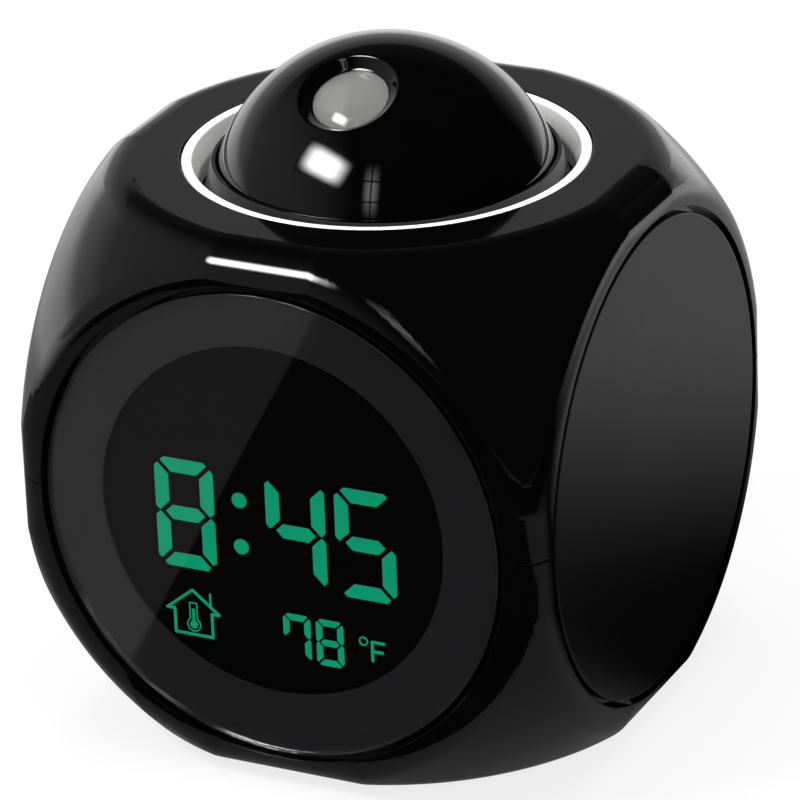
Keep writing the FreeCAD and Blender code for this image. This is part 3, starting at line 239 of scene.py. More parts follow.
MATERIALS = {
    "housing": plastic("gloss_black", (0.0007, 0.0007, 0.0008), (0.0011, 0.0011, 0.0012),
                       (0.05, 0.09), 700.0, 0.02, coat=0.3, edge=0.00025),
    "ball_black": plastic("gloss_black_ball", (0.0005, 0.0005, 0.0006), (0.0008, 0.0008, 0.0009),
                          (0.035, 0.07), 600.0, 0.015, coat=0.3),
    "side_panel": plastic("satin_black", (0.0015, 0.0015, 0.0017), (0.0022, 0.0022, 0.0024),
                          (0.27, 0.31), 9000.0, 0.06, mottle=12.0),
    "mask": plastic("printed_grey", (0.0122, 0.0122, 0.0135), (0.0136, 0.0136, 0.0150),
                    (0.08, 0.12), 6000.0, 0.01, specular=1.0),
    "display_glass": plastic("display_black", (0.0006, 0.0006, 0.0006), (0.0010, 0.0009, 0.0008),
                             (0.3, 0.4), 3000.0, 0.02, specular=0.05),
    "inner_plastic": plastic("inner_black", (0.012, 0.012, 0.013), (0.02, 0.02, 0.021),
                             (0.4, 0.55), 3000.0, 0.2),
    "key_black": plastic("key_black", (0.012, 0.012, 0.012), (0.018, 0.018, 0.018),
                         (0.32, 0.42), 7000.0, 0.15, edge=0.0003),
    "ring_white": plastic("ring_white", (0.90, 0.90, 0.89), (0.93, 0.93, 0.92),
                          (0.22, 0.32), 2500.0, 0.05, coat=0.2),
    "diffuser": plastic("milky", (0.62, 0.65, 0.66), (0.72, 0.75, 0.76), (0.3, 0.4), 900.0, 0.1),
    "circuit": plastic("board_green", (0.008, 0.075, 0.03), (0.012, 0.11, 0.045), (0.3, 0.45),
                       2500.0, 0.3),
    "silicone": plastic("grey_silicone", (0.10, 0.10, 0.105), (0.14, 0.14, 0.145), (0.6, 0.75),
                        4000.0, 0.25),
    "magnet": plastic("sintered", (0.05, 0.05, 0.052), (0.09, 0.09, 0.092), (0.5, 0.7), 3000.0, 0.4),
    "paper": plastic("diaphragm", (0.014, 0.014, 0.014), (0.024, 0.024, 0.024), (0.6, 0.8),
                     5000.0, 0.5),
    "chip": plastic("moulded_chip", (0.012, 0.012, 0.012), (0.02, 0.02, 0.02), (0.45, 0.6),
                    6000.0, 0.4),
    "led": plastic("clear_led", (0.7, 0.7, 0.62), (0.8, 0.8, 0.72), (0.15, 0.25), 900.0, 0.05),
    "ribbon": plastic("flex_amber", (0.35, 0.16, 0.03), (0.42, 0.20, 0.04), (0.3, 0.4), 900.0, 0.1),
    "cell": plastic("cell_sleeve", (0.10, 0.11, 0.12), (0.14, 0.15, 0.16), (0.25, 0.35), 900.0, 0.1),
    "steel": metal("plated_steel", (0.48, 0.48, 0.47), (0.62, 0.62, 0.60), (0.25, 0.42)),
    "lens": clear("window_acrylic", (0.97, 0.97, 0.96), 0.008, 1.46),
    "clear": clear("lens_acrylic", (0.42, 0.42, 0.41), 0.03, 1.49, body=0.30),
    "film": clear("slide_film", (0.35, 0.38, 0.38), 0.1, 1.5, body=0.6),
    "figures": lit("lit_green", (0.0022, 0.285, 0.142), 1.06),
}


def finish_of(piece, slot):
    """Give a piece the one material of a slot."""
    piece.data.materials.clear()
    piece.data.materials.append(MATERIALS[slot])


for name, node in frame["nodes"].items():
    finish_of(node, SLOT_OF[name])


# Shapes of the round pieces, with their edges rounded

# A flat longer than LONG_FLAT times its edge radius gets an extra ring beside the edge, so it shades flat
LONG_FLAT, FLAT_SUPPORT = 5.0, 2.0
ON_AXIS = 1e-6
SHARP_ANGLE = math.radians(32)
QUARTER = math.radians(90)

# Edge radii: tight where a piece seats, soft where an edge catches the light
TIGHT_EDGE, SOFT_EDGE, PANEL_EDGE, NECK_EDGE = 0.1, 0.3, 0.35, 0.25
COLLAR_INNER_EDGE, COLLAR_OUTER_EDGE = 0.05, 0.08


def new_piece(name, data):
    piece = bpy.data.objects.new(name, data)
    bpy.context.scene.collection.objects.link(piece)
    return piece


def mesh_piece(name, verts, faces):
    mesh = bpy.data.meshes.new(name)
    mesh.from_pydata(verts, [], faces)
    mesh.validate()
    return new_piece(name, mesh)


def arc(radius, centre, low, high, steps=40):
    """Profile points on a circle about the axis, from one angle above the level to another."""
    angles = [low + (high - low) * i / steps for i in range(steps + 1)]
    return [(radius * math.cos(a), centre + radius * math.sin(a)) for a in angles]


def rounded(profile, radii, steps=5):
    """Replace the corners that are given a radius, by their number, with short curves."""
    points = []
    count = len(profile)
    for i, spot in enumerate(profile):
        reach = radii.get(i, 0)
        here = Vector(spot)
        if not reach:
            points.append(tuple(here))
            continue
        before = Vector(profile[i - 1]) - here
        after = Vector(profile[(i + 1) % count]) - here
        start, end = before.normalized() * reach, after.normalized() * reach
        if before.length > reach * LONG_FLAT:
            points.append(tuple(here + start * FLAT_SUPPORT))
        for step in range(steps + 1):
            t = step / steps
            points.append(tuple(here + start * (1 - t) ** 2 + end * t ** 2))
        if after.length > reach * LONG_FLAT:
            points.append(tuple(here + end * FLAT_SUPPORT))
    return points


def lathe(name, profile, closed=True, turn=None, shift=(0, 0, 0), steps=256):
    """Turn a profile of (radius, height) millimetres about the Z axis, then place it."""
    verts, rings, faces = [], [], []
    for radius, height in profile:
        if radius < ON_AXIS:
            rings.append([len(verts)] * steps)
            verts.append((0, 0, height))
            continue
        rings.append(list(range(len(verts), len(verts) + steps)))
        verts += [(radius * math.cos(math.tau * k / steps), radius * math.sin(math.tau * k / steps),
                   height) for k in range(steps)]
    pairs = list(zip(rings, rings[1:]))
    if closed:
        pairs.append((rings[-1], rings[0]))
    for low, high in pairs:
        for k in range(steps):
            after = (k + 1) % steps
            corners = []
            for corner in (low[k], low[after], high[after], high[k]):
                if corner not in corners:
                    corners.append(corner)
            if len(corners) > 2:
                faces.append(corners)
    mesh = bpy.data.meshes.new(name)
    mesh.from_pydata(verts, [], faces)
    place = Matrix.Translation(Vector(shift) * MM) @ (turn or Matrix()) @ Matrix.Scale(MM, 4)
    mesh.transform(place)
    mesh.validate()
    mesh.polygons.foreach_set("use_smooth", [True] * len(mesh.polygons))
    mesh.set_sharp_from_angle(angle=SHARP_ANGLE)
    return new_piece(name, mesh)


def stands_for(piece, node):
    """Let a piece take the place of a node of the model, with its body and its slot."""
    slot = SLOT_OF[node]
    finish_of(piece, slot)
    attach(piece, BODY_OF[node])
    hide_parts(node)


FRONT = Matrix.Rotation(QUARTER, 4, "X")
SIDE_TURN = {"right": Matrix.Rotation(QUARTER, 4, "Y"), "left": Matrix.Rotation(-QUARTER, 4, "Y")}


def make_front_lens():
    profile = rounded([(0, LENS_AIR), (PANEL_RADIUS, LENS_AIR), (PANEL_RADIUS, LENS_THICKNESS),
                       (0, LENS_THICKNESS)], {1: TIGHT_EDGE, 2: SOFT_EDGE})
    piece = lathe("front_window", profile, closed=False, turn=FRONT,
                  shift=(0, LENS_THICKNESS - FACE, BODY_MIDDLE))
    stands_for(piece, "front_lens")


def make_side_panel(side):
    inner, outer, depth = PANEL_RING
    profile = rounded([(0, 0), (inner, 0), (inner, -depth), (outer, -depth), (outer, 0),
                       (PANEL_RADIUS, 0), (PANEL_RADIUS, PANEL_THICKNESS), (0, PANEL_THICKNESS)],
                      {5: TIGHT_EDGE, 6: PANEL_EDGE})
    sign = 1 if side == "right" else -1
    piece = lathe(f"{side}_disc", profile, closed=False, turn=SIDE_TURN[side],
                  shift=(sign * (FACE - PANEL_THICKNESS), 0, BODY_MIDDLE))
    stands_for(piece, f"{side}_panel")


def make_light_ring():
    inner, neck, outer, lip = RING_RADII
    profile = rounded([(inner, RING_LOW), (outer, RING_LOW), (outer, RING_SEAT), (lip, RING_SEAT),
                       (lip, RING_TOP), (neck, RING_TOP), (inner, RING_TOP - RING_FUNNEL)],
                      {3: TIGHT_EDGE, 4: SOFT_EDGE, 5: NECK_EDGE, 6: SOFT_EDGE})
    stands_for(lathe("white_ring", profile), "light_ring")


def make_push_ring():
    low, high = (math.asin((level - BALL_CENTRE) / SOCKET_RADIUS) for level in (BALL_CENTRE, COLLAR_TOP))
    start, end = (math.asin((level - BALL_CENTRE) / COLLAR_RADIUS) for level in (COLLAR_TOP, FLANGE_TOP))
    inside = arc(SOCKET_RADIUS, BALL_CENTRE, low, high)
    outside = arc(COLLAR_RADIUS, BALL_CENTRE, start, end)
    flange = [(FLANGE_RADIUS, FLANGE_TOP), (FLANGE_RADIUS, BALL_CENTRE)]
    count = len(inside)
    edges = {count - 1: COLLAR_INNER_EDGE, count: COLLAR_OUTER_EDGE, len(inside + outside): SOFT_EDGE}
    profile = rounded(inside + outside + flange, edges)
    stands_for(lathe("push_collar", profile), "push_ring")


LENS_AXIS = Matrix.Rotation(math.radians(BALL_TILT), 4, "X")
BALL_PLACE = (0, 0, BALL_CENTRE)


def make_ball():
    rim = math.acos(PORT_RADIUS / BALL_RADIUS)
    rim_height = BALL_RADIUS * math.sin(rim)
    floor = rim_height - PORT_DEPTH
    bore_angle = math.acos(PORT_BORE / BALL_INNER)
    seam = math.asin(BALL_SEAM / 2 / BALL_RADIUS)
    skirt = [(BALL_RADIUS - BALL_SEAM, 0), (BALL_RADIUS - BALL_SEAM, BALL_SEAM / 2)]
    outer = arc(BALL_RADIUS, 0, seam, rim, steps=90)
    port = [(PORT_FLOOR, floor), (PORT_BORE, floor - PORT_SLOPE)]
    inner = arc(BALL_INNER, 0, bore_angle, 0, steps=60)
    lip = len(skirt) + len(outer) - 1
    upper = rounded(skirt + outer + port + inner, {lip: SOFT_EDGE, lip + 1: TIGHT_EDGE})
    stands_for(lathe("ball_dome", upper, turn=LENS_AXIS, shift=BALL_PLACE), "ball_upper")
    bowl_outer = arc(BALL_RADIUS, 0, -QUARTER, -seam, steps=90)
    bowl_skirt = [(BALL_RADIUS - BALL_SEAM, -BALL_SEAM / 2), (BALL_RADIUS - BALL_SEAM, 0)]
    bowl_inner = arc(BALL_INNER, 0, 0, -QUARTER, steps=60)
    bowl = [(0, -BALL_RADIUS)] + bowl_outer[1:] + bowl_skirt + bowl_inner[:-1] + [(0, -BALL_INNER)]
    stands_for(lathe("ball_bowl", bowl, closed=False, turn=LENS_AXIS, shift=BALL_PLACE), "ball_lower")


def make_projection_lens():
    top = LENS_SEAT + LENS_EDGE
    centre = top - math.sqrt(LENS_CROWN ** 2 - LENS_RADIUS ** 2)
    crown = arc(LENS_CROWN, centre, math.acos(LENS_RADIUS / LENS_CROWN), QUARTER, steps=24)
    profile = [(0, LENS_SEAT), (LENS_RADIUS, LENS_SEAT)] + crown[:-1] + [(0, centre + LENS_CROWN)]
    piece = lathe("projector_eye", profile, closed=False, turn=LENS_AXIS, shift=BALL_PLACE, steps=128)
    stands_for(piece, "projection_lens")


DOME_FOOT_RADIUS, DOME_TOP_RADIUS, DOME_HEIGHT = 2.6, 1.7, 3.0
DOME_SKIRT, DOME_WAIST, DOME_NECK = (2.45, 0.4), (1.9, 1.6), 2.2
DOME_PROFILE = [(0, 0), (DOME_FOOT_RADIUS, 0), DOME_SKIRT, DOME_WAIST, (DOME_TOP_RADIUS, DOME_NECK),
                (DOME_TOP_RADIUS, DOME_HEIGHT), (0, DOME_HEIGHT)]


def make_return_domes():
    """Four rubber domes under the cradle, in one mesh."""
    low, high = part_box("return_domes")
    ring = high[0] / MM - DOME_FOOT_RADIUS
    solid = bmesh.new()
    for x, y in ((ring, 0), (0, ring), (-ring, 0), (0, -ring)):
        dome = lathe("dome", DOME_PROFILE, closed=False, shift=(x, y, low[2] / MM), steps=48)
        solid.from_mesh(dome.data)
        bpy.data.objects.remove(dome)
    mesh = bpy.data.meshes.new("rubber_domes")
    solid.to_mesh(mesh)
    solid.free()
    piece = new_piece("rubber_domes", mesh)
    stands_for(piece, "return_domes")
    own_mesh(piece)


# Raised signs on the rear keys: rounded strokes between points, millimetres off a key's middle
SIGN_WIDTH = 0.42
SIGN_RISE = 0.08
SIGN_TAPER = 0.92
SIGN_STAGGER = 0.002
CLOCK_RADIUS = 1.35
SIGNS = {
    "plus_key": [((-1.3, 0), (1.3, 0)), ((0, -1.3), (0, 1.3))],
    "minus_key": [((-1.3, 0), (1.3, 0))],
    "clock_key": [((0, 0), (0, 0.9)), ((0, 0), (0.6, -0.3))],
    "alarm_key": [((-1.3, -0.8), (1.3, -0.8)), ((-0.9, -0.8), (-0.8, 0.4)), ((-0.8, 0.4), (0, 1.1)),
                  ((0, 1.1), (0.8, 0.4)), ((0.8, 0.4), (0.9, -0.8)), ((-0.25, -1.35), (0.25, -1.35))],
}


def ring_strokes(spot, radius, start=0.0, turn=math.tau, count=24):
    """Short strokes that follow a circle, or a part of one."""
    spots = [(spot[0] + radius * math.sin(start + turn * k / count),
              spot[1] + radius * math.cos(start + turn * k / count)) for k in range(count + 1)]
    return list(zip(spots, spots[1:]))


def stroke_outline(start, end, width, steps=8):
    """A capsule round a line, as corner points."""
    a, b = Vector(start), Vector(end)
    heading = math.atan2(b.y - a.y, b.x - a.x)
    points = []
    for spot, facing in ((b, heading), (a, heading + math.pi)):
        for k in range(steps + 1):
            angle = facing - QUARTER + math.pi * k / steps
            points.append((spot.x + width / 2 * math.cos(angle), spot.y + width / 2 * math.sin(angle)))
    return points


def slab_faces(first, count):
    """The far face and the walls of a slab: its near corners start at number first, the far ones follow."""
    far = first + count
    faces = [list(range(far, far + count))]
    faces += [[first + k, first + (k + 1) % count, far + (k + 1) % count, far + k] for k in range(count)]
    return faces


def make_sign(key):
    """The raised sign of one rear key."""
    strokes = SIGNS[key] + (ring_strokes((0, 0), CLOCK_RADIUS) if key == "clock_key" else [])
    verts, faces = [], []
    for number, (start, end) in enumerate(strokes):
        outline = stroke_outline(start, end, SIGN_WIDTH)
        count, first = len(outline), len(verts)
        top = FACE + SIGN_RISE - SIGN_STAGGER * (number % 2)
        for level, grow in ((FACE - SIGN_RISE, 1.0), (top, SIGN_TAPER)):
            centre_x = (start[0] + end[0]) / 2
            centre_z = (start[1] + end[1]) / 2
            for x, z in outline:
                wide_x = centre_x + (x - centre_x) * grow
                wide_z = centre_z + (z - centre_z) * grow
                verts.append(((KEYS[key] * KEY_PITCH - wide_x) * MM, level * MM, (KEY_LINE + wide_z) * MM))
        faces += slab_faces(first, count)
    piece = mesh_piece(f"{key}_sign", verts, faces)
    finish_of(piece, "ring_white")
    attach(piece, BODY_OF[key])


# Figures of the display, drawn flat on its glass: millimetres off the clock's middle line
GLASS_FACE = 40.7
FIGURE_RISE = 0.12
FIGURE_STAGGER = 0.001
BARS_OF = {4: "bcfg", 5: "acdfg", 7: "abcf", 8: "abcdefg"}
BIG = {"size": (9.5, 17.3), "stroke": 2.2, "gap": 1.0}
SMALL = {"size": (4.4, 7.4), "stroke": 1.0, "gap": 0.44}

# Shares of a bar's width, for its cut outer corners and for its point, and of the gap, at that point
NIP_SHARE, TIP_SHARE, REST_SHARE = 0.7, 0.3, 0.1

BIG_DIGITS = ((8, -14.1), (4, 3.8), (5, 14.9))
SMALL_DIGITS = ((7, 3.2), (8, 8.5))
BIG_LINE, SMALL_LINE = 41.8, 25.0
COLON_X, COLON_SPREAD, COLON_RADIUS = -5.2, 3.7, 1.2
DEGREE_SPOT, DEGREE_RADIUS, DEGREE_LINE = (13.9, 26.4), 0.62, 0.22
LETTER_LINE = 0.45
LETTER_STROKES = (((15.3, 23.5), (15.3, 26.5)), ((15.3, 26.5), (17.2, 26.5)), ((15.3, 25.0), (16.9, 25.0)))
HOUSE_LINE = 0.42
HOUSE_CORNERS = ((-16.75, 22.4), (-10.65, 22.4), (-10.65, 26.2), (-9.45, 26.2), (-13.7, 29.6),
                 (-17.95, 26.2), (-16.75, 26.2))
CHIMNEY = (((-10.8, 27.6), (-10.8, 29.4)),)
CHIMNEY_LINE = HOUSE_LINE * 0.7
METER_SPOT, BULB_RADIUS, STEM_TOP, STEM_LINE = (-13.7, 24.0), 0.62, 26.4, 0.42
METER_LINE, METER_RADIUS, METER_HALF, METER_TOP = 0.16, 1.06, 0.58, 27.5


def clipped(corners, keep):
    """The part of a convex outline where keep(x, z) is not negative; keep is linear."""
    points = []
    for i, here in enumerate(corners):
        there = corners[(i + 1) % len(corners)]
        a, b = keep(*here), keep(*there)
        if a >= 0:
            points.append(here)
        if a * b < 0:
            share = a / (a - b)
            points.append((here[0] + (there[0] - here[0]) * share, here[1] + (there[1] - here[1]) * share))
    return points


def bar_outline(letter, width, height, stroke, gap):
    """One bar of a seven-bar digit, as corners from the digit's lower left corner."""
    nip, tip, rest = stroke * NIP_SHARE, stroke * TIP_SHARE, gap * REST_SHARE
    if letter in "ad":
        corners = [(0, height - stroke), (width, height - stroke), (width, height), (0, height)]
        for inward in (lambda x: x, lambda x: width - x):
            corners = clipped(corners, lambda x, z: inward(x) - (height - z) - gap / 2)
            corners = clipped(corners, lambda x, z: inward(x) + (height - z) - nip)
    elif letter == "g":
        low, high = (height - stroke) / 2, (height + stroke) / 2
        corners = [(0, low), (width, low), (width, high), (0, high)]
        inset = (stroke + gap) / 2
        for sign in (-1, 1):
            corners = clipped(corners, lambda x, z: x - inset - sign * (z - height / 2))
            corners = clipped(corners, lambda x, z: width - x - inset - sign * (z - height / 2))
    else:
        corners = [(0, height / 2), (stroke, height / 2), (stroke, height), (0, height)]
        corners = clipped(corners, lambda x, z: height - z - x - gap / 2)
        corners = clipped(corners, lambda x, z: height - z + x - nip)
        for slope in (-1, 1):
            corners = clipped(corners, lambda x, z: z - height / 2 + slope * (x - tip) - rest)
    if letter in "bc":
        corners = [(width - x, z) for x, z in corners]
    if letter in "cde":
        corners = [(x, height - z) for x, z in corners]
    return corners


def digit_outlines(figure, middle, line, style):
    """The lit bars of one digit, about its middle."""
    width, height = style["size"]
    outlines = []
    for letter in BARS_OF[figure]:
        bar = bar_outline(letter, width, height, style["stroke"], style["gap"])
        outlines.append([(middle - width / 2 + x, line - height / 2 + z) for x, z in bar])
    return outlines


def disc_outline(spot, radius, count=24):
    """A circle, as corner points."""
    return [(spot[0] + radius * math.cos(math.tau * k / count),
             spot[1] + radius * math.sin(math.tau * k / count)) for k in range(count)]


def meter_strokes():
    """The outline of the thermometer: an open ring that runs up into a stem."""
    x, z = METER_SPOT
    opening = math.asin(METER_HALF / METER_RADIUS)
    neck = z + METER_RADIUS * math.cos(opening)
    strokes = ring_strokes(METER_SPOT, METER_RADIUS, opening, math.tau - opening * 2)
    strokes += [((x + side * METER_HALF, neck), (x + side * METER_HALF, METER_TOP)) for side in (-1, 1)]
    strokes.append(((x - METER_HALF, METER_TOP), (x + METER_HALF, METER_TOP)))
    return strokes


def make_figures():
    """The lit digits, colon and small signs, as thin slabs on the display's glass."""
    outlines = []
    for figure, middle in BIG_DIGITS:
        outlines += digit_outlines(figure, middle, BIG_LINE, BIG)
    for figure, middle in SMALL_DIGITS:
        outlines += digit_outlines(figure, middle, SMALL_LINE, SMALL)
    for sign in (-1, 1):
        outlines.append(disc_outline((COLON_X, BIG_LINE + sign * COLON_SPREAD), COLON_RADIUS))
    house = list(zip(HOUSE_CORNERS, HOUSE_CORNERS[1:] + HOUSE_CORNERS[:1]))
    x, z = METER_SPOT
    for strokes, width in ((LETTER_STROKES, LETTER_LINE), (house, HOUSE_LINE), (CHIMNEY, CHIMNEY_LINE),
                           (ring_strokes(DEGREE_SPOT, DEGREE_RADIUS), DEGREE_LINE),
                           ((((x, z), (x, STEM_TOP)),), STEM_LINE), (meter_strokes(), METER_LINE)):
        outlines += [stroke_outline(start, end, width) for start, end in strokes]
    outlines.append(disc_outline(METER_SPOT, BULB_RADIUS))
    verts, faces = [], []
    for number, outline in enumerate(outlines):
        rise = FIGURE_RISE - FIGURE_STAGGER * (number % 3)
        count, first = len(outline), len(verts)
        for depth in (0, rise):
            verts += [(x * MM, -(GLASS_FACE + depth) * MM, z * MM) for x, z in outline]
        faces += slab_faces(first, count)
    stands_for(mesh_piece("lit_figures", verts, faces), "display_figures")


make_front_lens()
for side in ("right", "left"):
    make_side_panel(side)
make_light_ring()
make_push_ring()
make_ball()
make_projection_lens()
make_return_domes()
make_figures()
for key in KEYS:
    make_sign(key)


# Camera at the photograph's angle
AZIMUTH, ELEVATION, ROLL = (math.radians(a) for a in (26.712, 24.351, -2.288))
DISTANCE, FOCAL_PIXELS, FRAME_PIXELS = 884.06, 5921.73, 800
ASIDE, ABOVE = 0.439, 2.037
SENSOR = 36.0
CLIP_NEAR, CLIP_FAR = 0.01, 20


def make_camera():
    """Place the camera, and return where it is and which way it looks."""
    back = Vector((math.sin(AZIMUTH) * math.cos(ELEVATION),
                   -math.cos(AZIMUTH) * math.cos(ELEVATION), math.sin(ELEVATION)))
    level = Vector((math.cos(AZIMUTH), math.sin(AZIMUTH), 0))
    upright = back.cross(level)
    right = level * math.cos(ROLL) + upright * math.sin(ROLL)
    up = upright * math.cos(ROLL) - level * math.sin(ROLL)
    data = bpy.data.cameras.new("camera")
    data.sensor_width = SENSOR
    data.lens = FOCAL_PIXELS / FRAME_PIXELS * SENSOR
    data.clip_start = CLIP_NEAR
    data.clip_end = CLIP_FAR
    camera = new_piece("camera", data)
    spot = (back * DISTANCE + right * ASIDE + up * ABOVE + Vector((0, 0, BODY_MIDDLE))) * MM
    turn = Matrix((right, up, back)).transposed().to_4x4()
    camera.matrix_world = Matrix.Translation(spot) @ turn
    bpy.context.scene.camera = camera
    return spot, right, up, back


EYE, RIGHT, UP, BACK = make_camera()


# Where things show in the photograph, in its own 800 pixel frame
GLARE_HIGH_PIXEL = (320, 305)
GLARE_LOW_PIXEL = (125, 670)
SOFTBOX_PIXEL = (325, 165)
WINDOW_PIXEL = (371, 192)


def sight(pixel):
    """The direction in which the camera sees a pixel."""
    aside = (pixel[0] - FRAME_PIXELS / 2) / FOCAL_PIXELS
    above = (FRAME_PIXELS / 2 - pixel[1]) / FOCAL_PIXELS
    return (RIGHT * aside + UP * above - BACK).normalized()


def window_mirror(pixel, height):
    """The spot near the floor that the flat front window mirrors at a pixel."""
    way = sight(pixel)
    spot = EYE + way * ((-FACE * MM - EYE.y) / way.y)
    way.y = -way.y
    return spot + way * ((height - spot.z) / way.z)


def ball_mirror(pixel):
    """The direction that the ball mirrors at a pixel."""
    way = sight(pixel)
    offset = EYE - Vector(BALL_PLACE) * MM
    half = offset.dot(way)
    reach = -half - math.sqrt(half ** 2 - offset.length_squared + (BALL_RADIUS * MM) ** 2)
    normal = (offset + way * reach).normalized()
    return (way - normal * (2 * way.dot(normal))).normalized()


# Floor, backdrop and light

FLOOR_REACH = 3.0
FLOOR_GLOW = 0.8
FLOOR_MOTTLE = 3.0
FLOOR_DARK, FLOOR_LIGHT = (0.80, 0.80, 0.80), (0.84, 0.84, 0.84)


def floor_material():
    """Mostly a white glow to the camera and to gloss, and matt to the rest of the light."""
    material, tree, shader = new_material("pale_floor")
    shader.inputs["Roughness"].default_value = 0.9
    tree.links.new(tint(tree, noise(tree, FLOOR_MOTTLE), FLOOR_DARK, FLOOR_LIGHT),
                   shader.inputs["Base Color"])
    path = add(tree, "ShaderNodeLightPath")
    glow = add(tree, "ShaderNodeEmission")
    seen = math_node(tree, "MAXIMUM", path.outputs["Is Camera Ray"], path.outputs["Is Glossy Ray"])
    seen = math_node(tree, "MAXIMUM", seen, path.outputs["Is Transmission Ray"])
    mix = add(tree, "ShaderNodeMixShader")
    tree.links.new(math_node(tree, "MULTIPLY", seen, FLOOR_GLOW), mix.inputs["Fac"])
    tree.links.new(shader.outputs["BSDF"], mix.inputs[1])
    tree.links.new(glow.outputs["Emission"], mix.inputs[2])
    tree.links.new(mix.outputs["Shader"], tree.nodes["Material Output"].inputs["Surface"])
    return material


def flat_piece(name, corners):
    piece = mesh_piece(name, [tuple(corner) for corner in corners], [tuple(range(len(corners)))])
    return piece


def level_sheet(name, low, high, height):
    """A flat rectangle between two corners seen from above."""
    return flat_piece(name, [(low[0], low[1], height), (high[0], low[1], height),
                             (high[0], high[1], height), (low[0], high[1], height)])


def make_floor():
    floor = level_sheet("floor", (-FLOOR_REACH, -FLOOR_REACH), (FLOOR_REACH, FLOOR_REACH), 0)
    floor.data.materials.append(floor_material())


def mirrored_only(piece):
    """A studio card that shows in gloss but lights nothing."""
    piece.visible_camera = False
    piece.visible_diffuse = False
    piece.visible_shadow = False
    piece.visible_volume_scatter = False


def glow_material(name, build_level):
    """A material that only glows, at a level that is built in its own node tree."""
    material = bpy.data.materials.new(name)
    material.use_nodes = True
    tree = material.node_tree
    tree.nodes.remove(tree.nodes["Principled BSDF"])
    glow = add(tree, "ShaderNodeEmission")
    tree.links.new(glow.outputs["Emission"], tree.nodes["Material Output"].inputs["Surface"])
    tree.links.new(build_level(tree), glow.inputs["Strength"])
    return material


BACKWARD = Vector((-BACK.x, -BACK.y, 0)).normalized()

# What gloss sees on the floor, dark by the clock's foot as a painted shadow of the clock: a level, and
# between which metres from the clock it rises, or the faint glow by the foot falls
NEAR_GLOW = (0.42, 0.07, 0.17)
FAR_GLOW = (0.6, 0.25, 0.6)
FOOT_GLOW = (0.15, 0.16, 0.32)

# Where the glow rises and the faint glow by the foot falls, on a scale from -1 before the clock to 1 behind
# it
GLOW_SHARE = (-0.3, 0.4)
FOOT_GLOW_SHARE = (-0.6, -0.2)

# An even card fades to this share of its level at this many metres from the clock
CARD_FALL, CARD_FALL_REACH = 0.8, 0.4


def from_foot(tree):
    """A spot of a floor card, as a vector from the middle of the clock's foot, and how far that is."""
    place = add(tree, "ShaderNodeTexCoord")
    away = add(tree, "ShaderNodeVectorMath", operation="LENGTH")
    tree.links.new(place.outputs["Object"], away.inputs[0])
    return place.outputs["Object"], away.outputs["Value"]


def pointing(tree, source, direction):
    """How much a vector points in a fixed direction, from -1 to 1."""
    node = add(tree, "ShaderNodeVectorMath", operation="DOT_PRODUCT")
    tree.links.new(source, node.inputs[0])
    node.inputs[1].default_value = direction
    return node.outputs["Value"]


def round_shade(tree):
    """Dark by the clock's foot, a painted shadow of the clock, and dark on the camera's side, rising to
    white behind the clock, with a faint glow near the foot on the camera's side.
    """
    place, away = from_foot(tree)
    near, far = (spread(tree, away, 0.0, level, low, high, "SMOOTHSTEP")
                 for level, low, high in (NEAR_GLOW, FAR_GLOW))
    unit = add(tree, "ShaderNodeVectorMath", operation="NORMALIZE")
    tree.links.new(place, unit.inputs[0])
    behind = pointing(tree, unit.outputs["Vector"], BACKWARD)
    share = spread(tree, behind, 0.0, 1.0, *GLOW_SHARE, "SMOOTHSTEP")
    bright = math_node(tree, "MULTIPLY", math_node(tree, "ADD", near, far), share)
    level, low, high = FOOT_GLOW
    foot = spread(tree, away, level, 0.0, low, high, "SMOOTHSTEP")
    before = spread(tree, behind, 1.0, 0.0, *FOOT_GLOW_SHARE, "SMOOTHSTEP")
    return math_node(tree, "ADD", bright, math_node(tree, "MULTIPLY", foot, before))


def even(level):
    """One level, a little less away from the clock."""
    def build(tree):
        _, away = from_foot(tree)
        return spread(tree, away, level, level * CARD_FALL, 0.0, CARD_FALL_REACH)
    return build


def soft_edges(half_x, half_y, level, edge):
    """Bright in the middle of a card, fading out to its edges."""
    def build(tree):
        place = add(tree, "ShaderNodeTexCoord")
        split = add(tree, "ShaderNodeSeparateXYZ")
        tree.links.new(place.outputs["Object"], split.inputs["Vector"])
        fades = []
        for axis, half in (("X", half_x), ("Y", half_y)):
            away = math_node(tree, "ABSOLUTE", split.outputs[axis])
            fades.append(spread(tree, away, 1.0, 0.0, half * (1 - edge), half, "SMOOTHSTEP"))
        return math_node(tree, "MULTIPLY", math_node(tree, "MULTIPLY", *fades), level)
    return build


SHADE_REACH, SHADE_CORNERS = 2.9, 64
SHADE_HEIGHT, FLAG_HEIGHT, GLARE_HEIGHT = 0.0005, 0.001, 0.0015
FLAG_REACH = ((-0.32, -0.34), (0.12, -0.05))
FLAG_LEVEL, GLARE_LEVEL = 0.004, 0.125
GLARE_OVERRUN, GLARE_WIDTH = 0.08, 0.25


def make_floor_cards():
    spots = disc_outline((0, 0), SHADE_REACH, SHADE_CORNERS)
    # A floor card seen only in gloss, with the clock's shadow painted dark by its foot
    shade = flat_piece("floor_shade", [(x, y, SHADE_HEIGHT) for x, y in spots])
    shade.data.materials.append(glow_material("shade", round_shade))
    mirrored_only(shade)
    flag = level_sheet("black_flag", *FLAG_REACH, FLAG_HEIGHT)
    flag.data.materials.append(glow_material("flag", even(FLAG_LEVEL)))
    mirrored_only(flag)
    high = window_mirror(GLARE_HIGH_PIXEL, GLARE_HEIGHT)
    low = window_mirror(GLARE_LOW_PIXEL, GLARE_HEIGHT)
    along = (high - low).normalized() * GLARE_OVERRUN
    aside = Vector((-GLARE_WIDTH, 0, 0))
    glare = flat_piece("glare_card", [low - along, high + along, high + along + aside,
                                      low - along + aside])
    glare.data.materials.append(glow_material("glare", even(GLARE_LEVEL)))
    mirrored_only(glare)


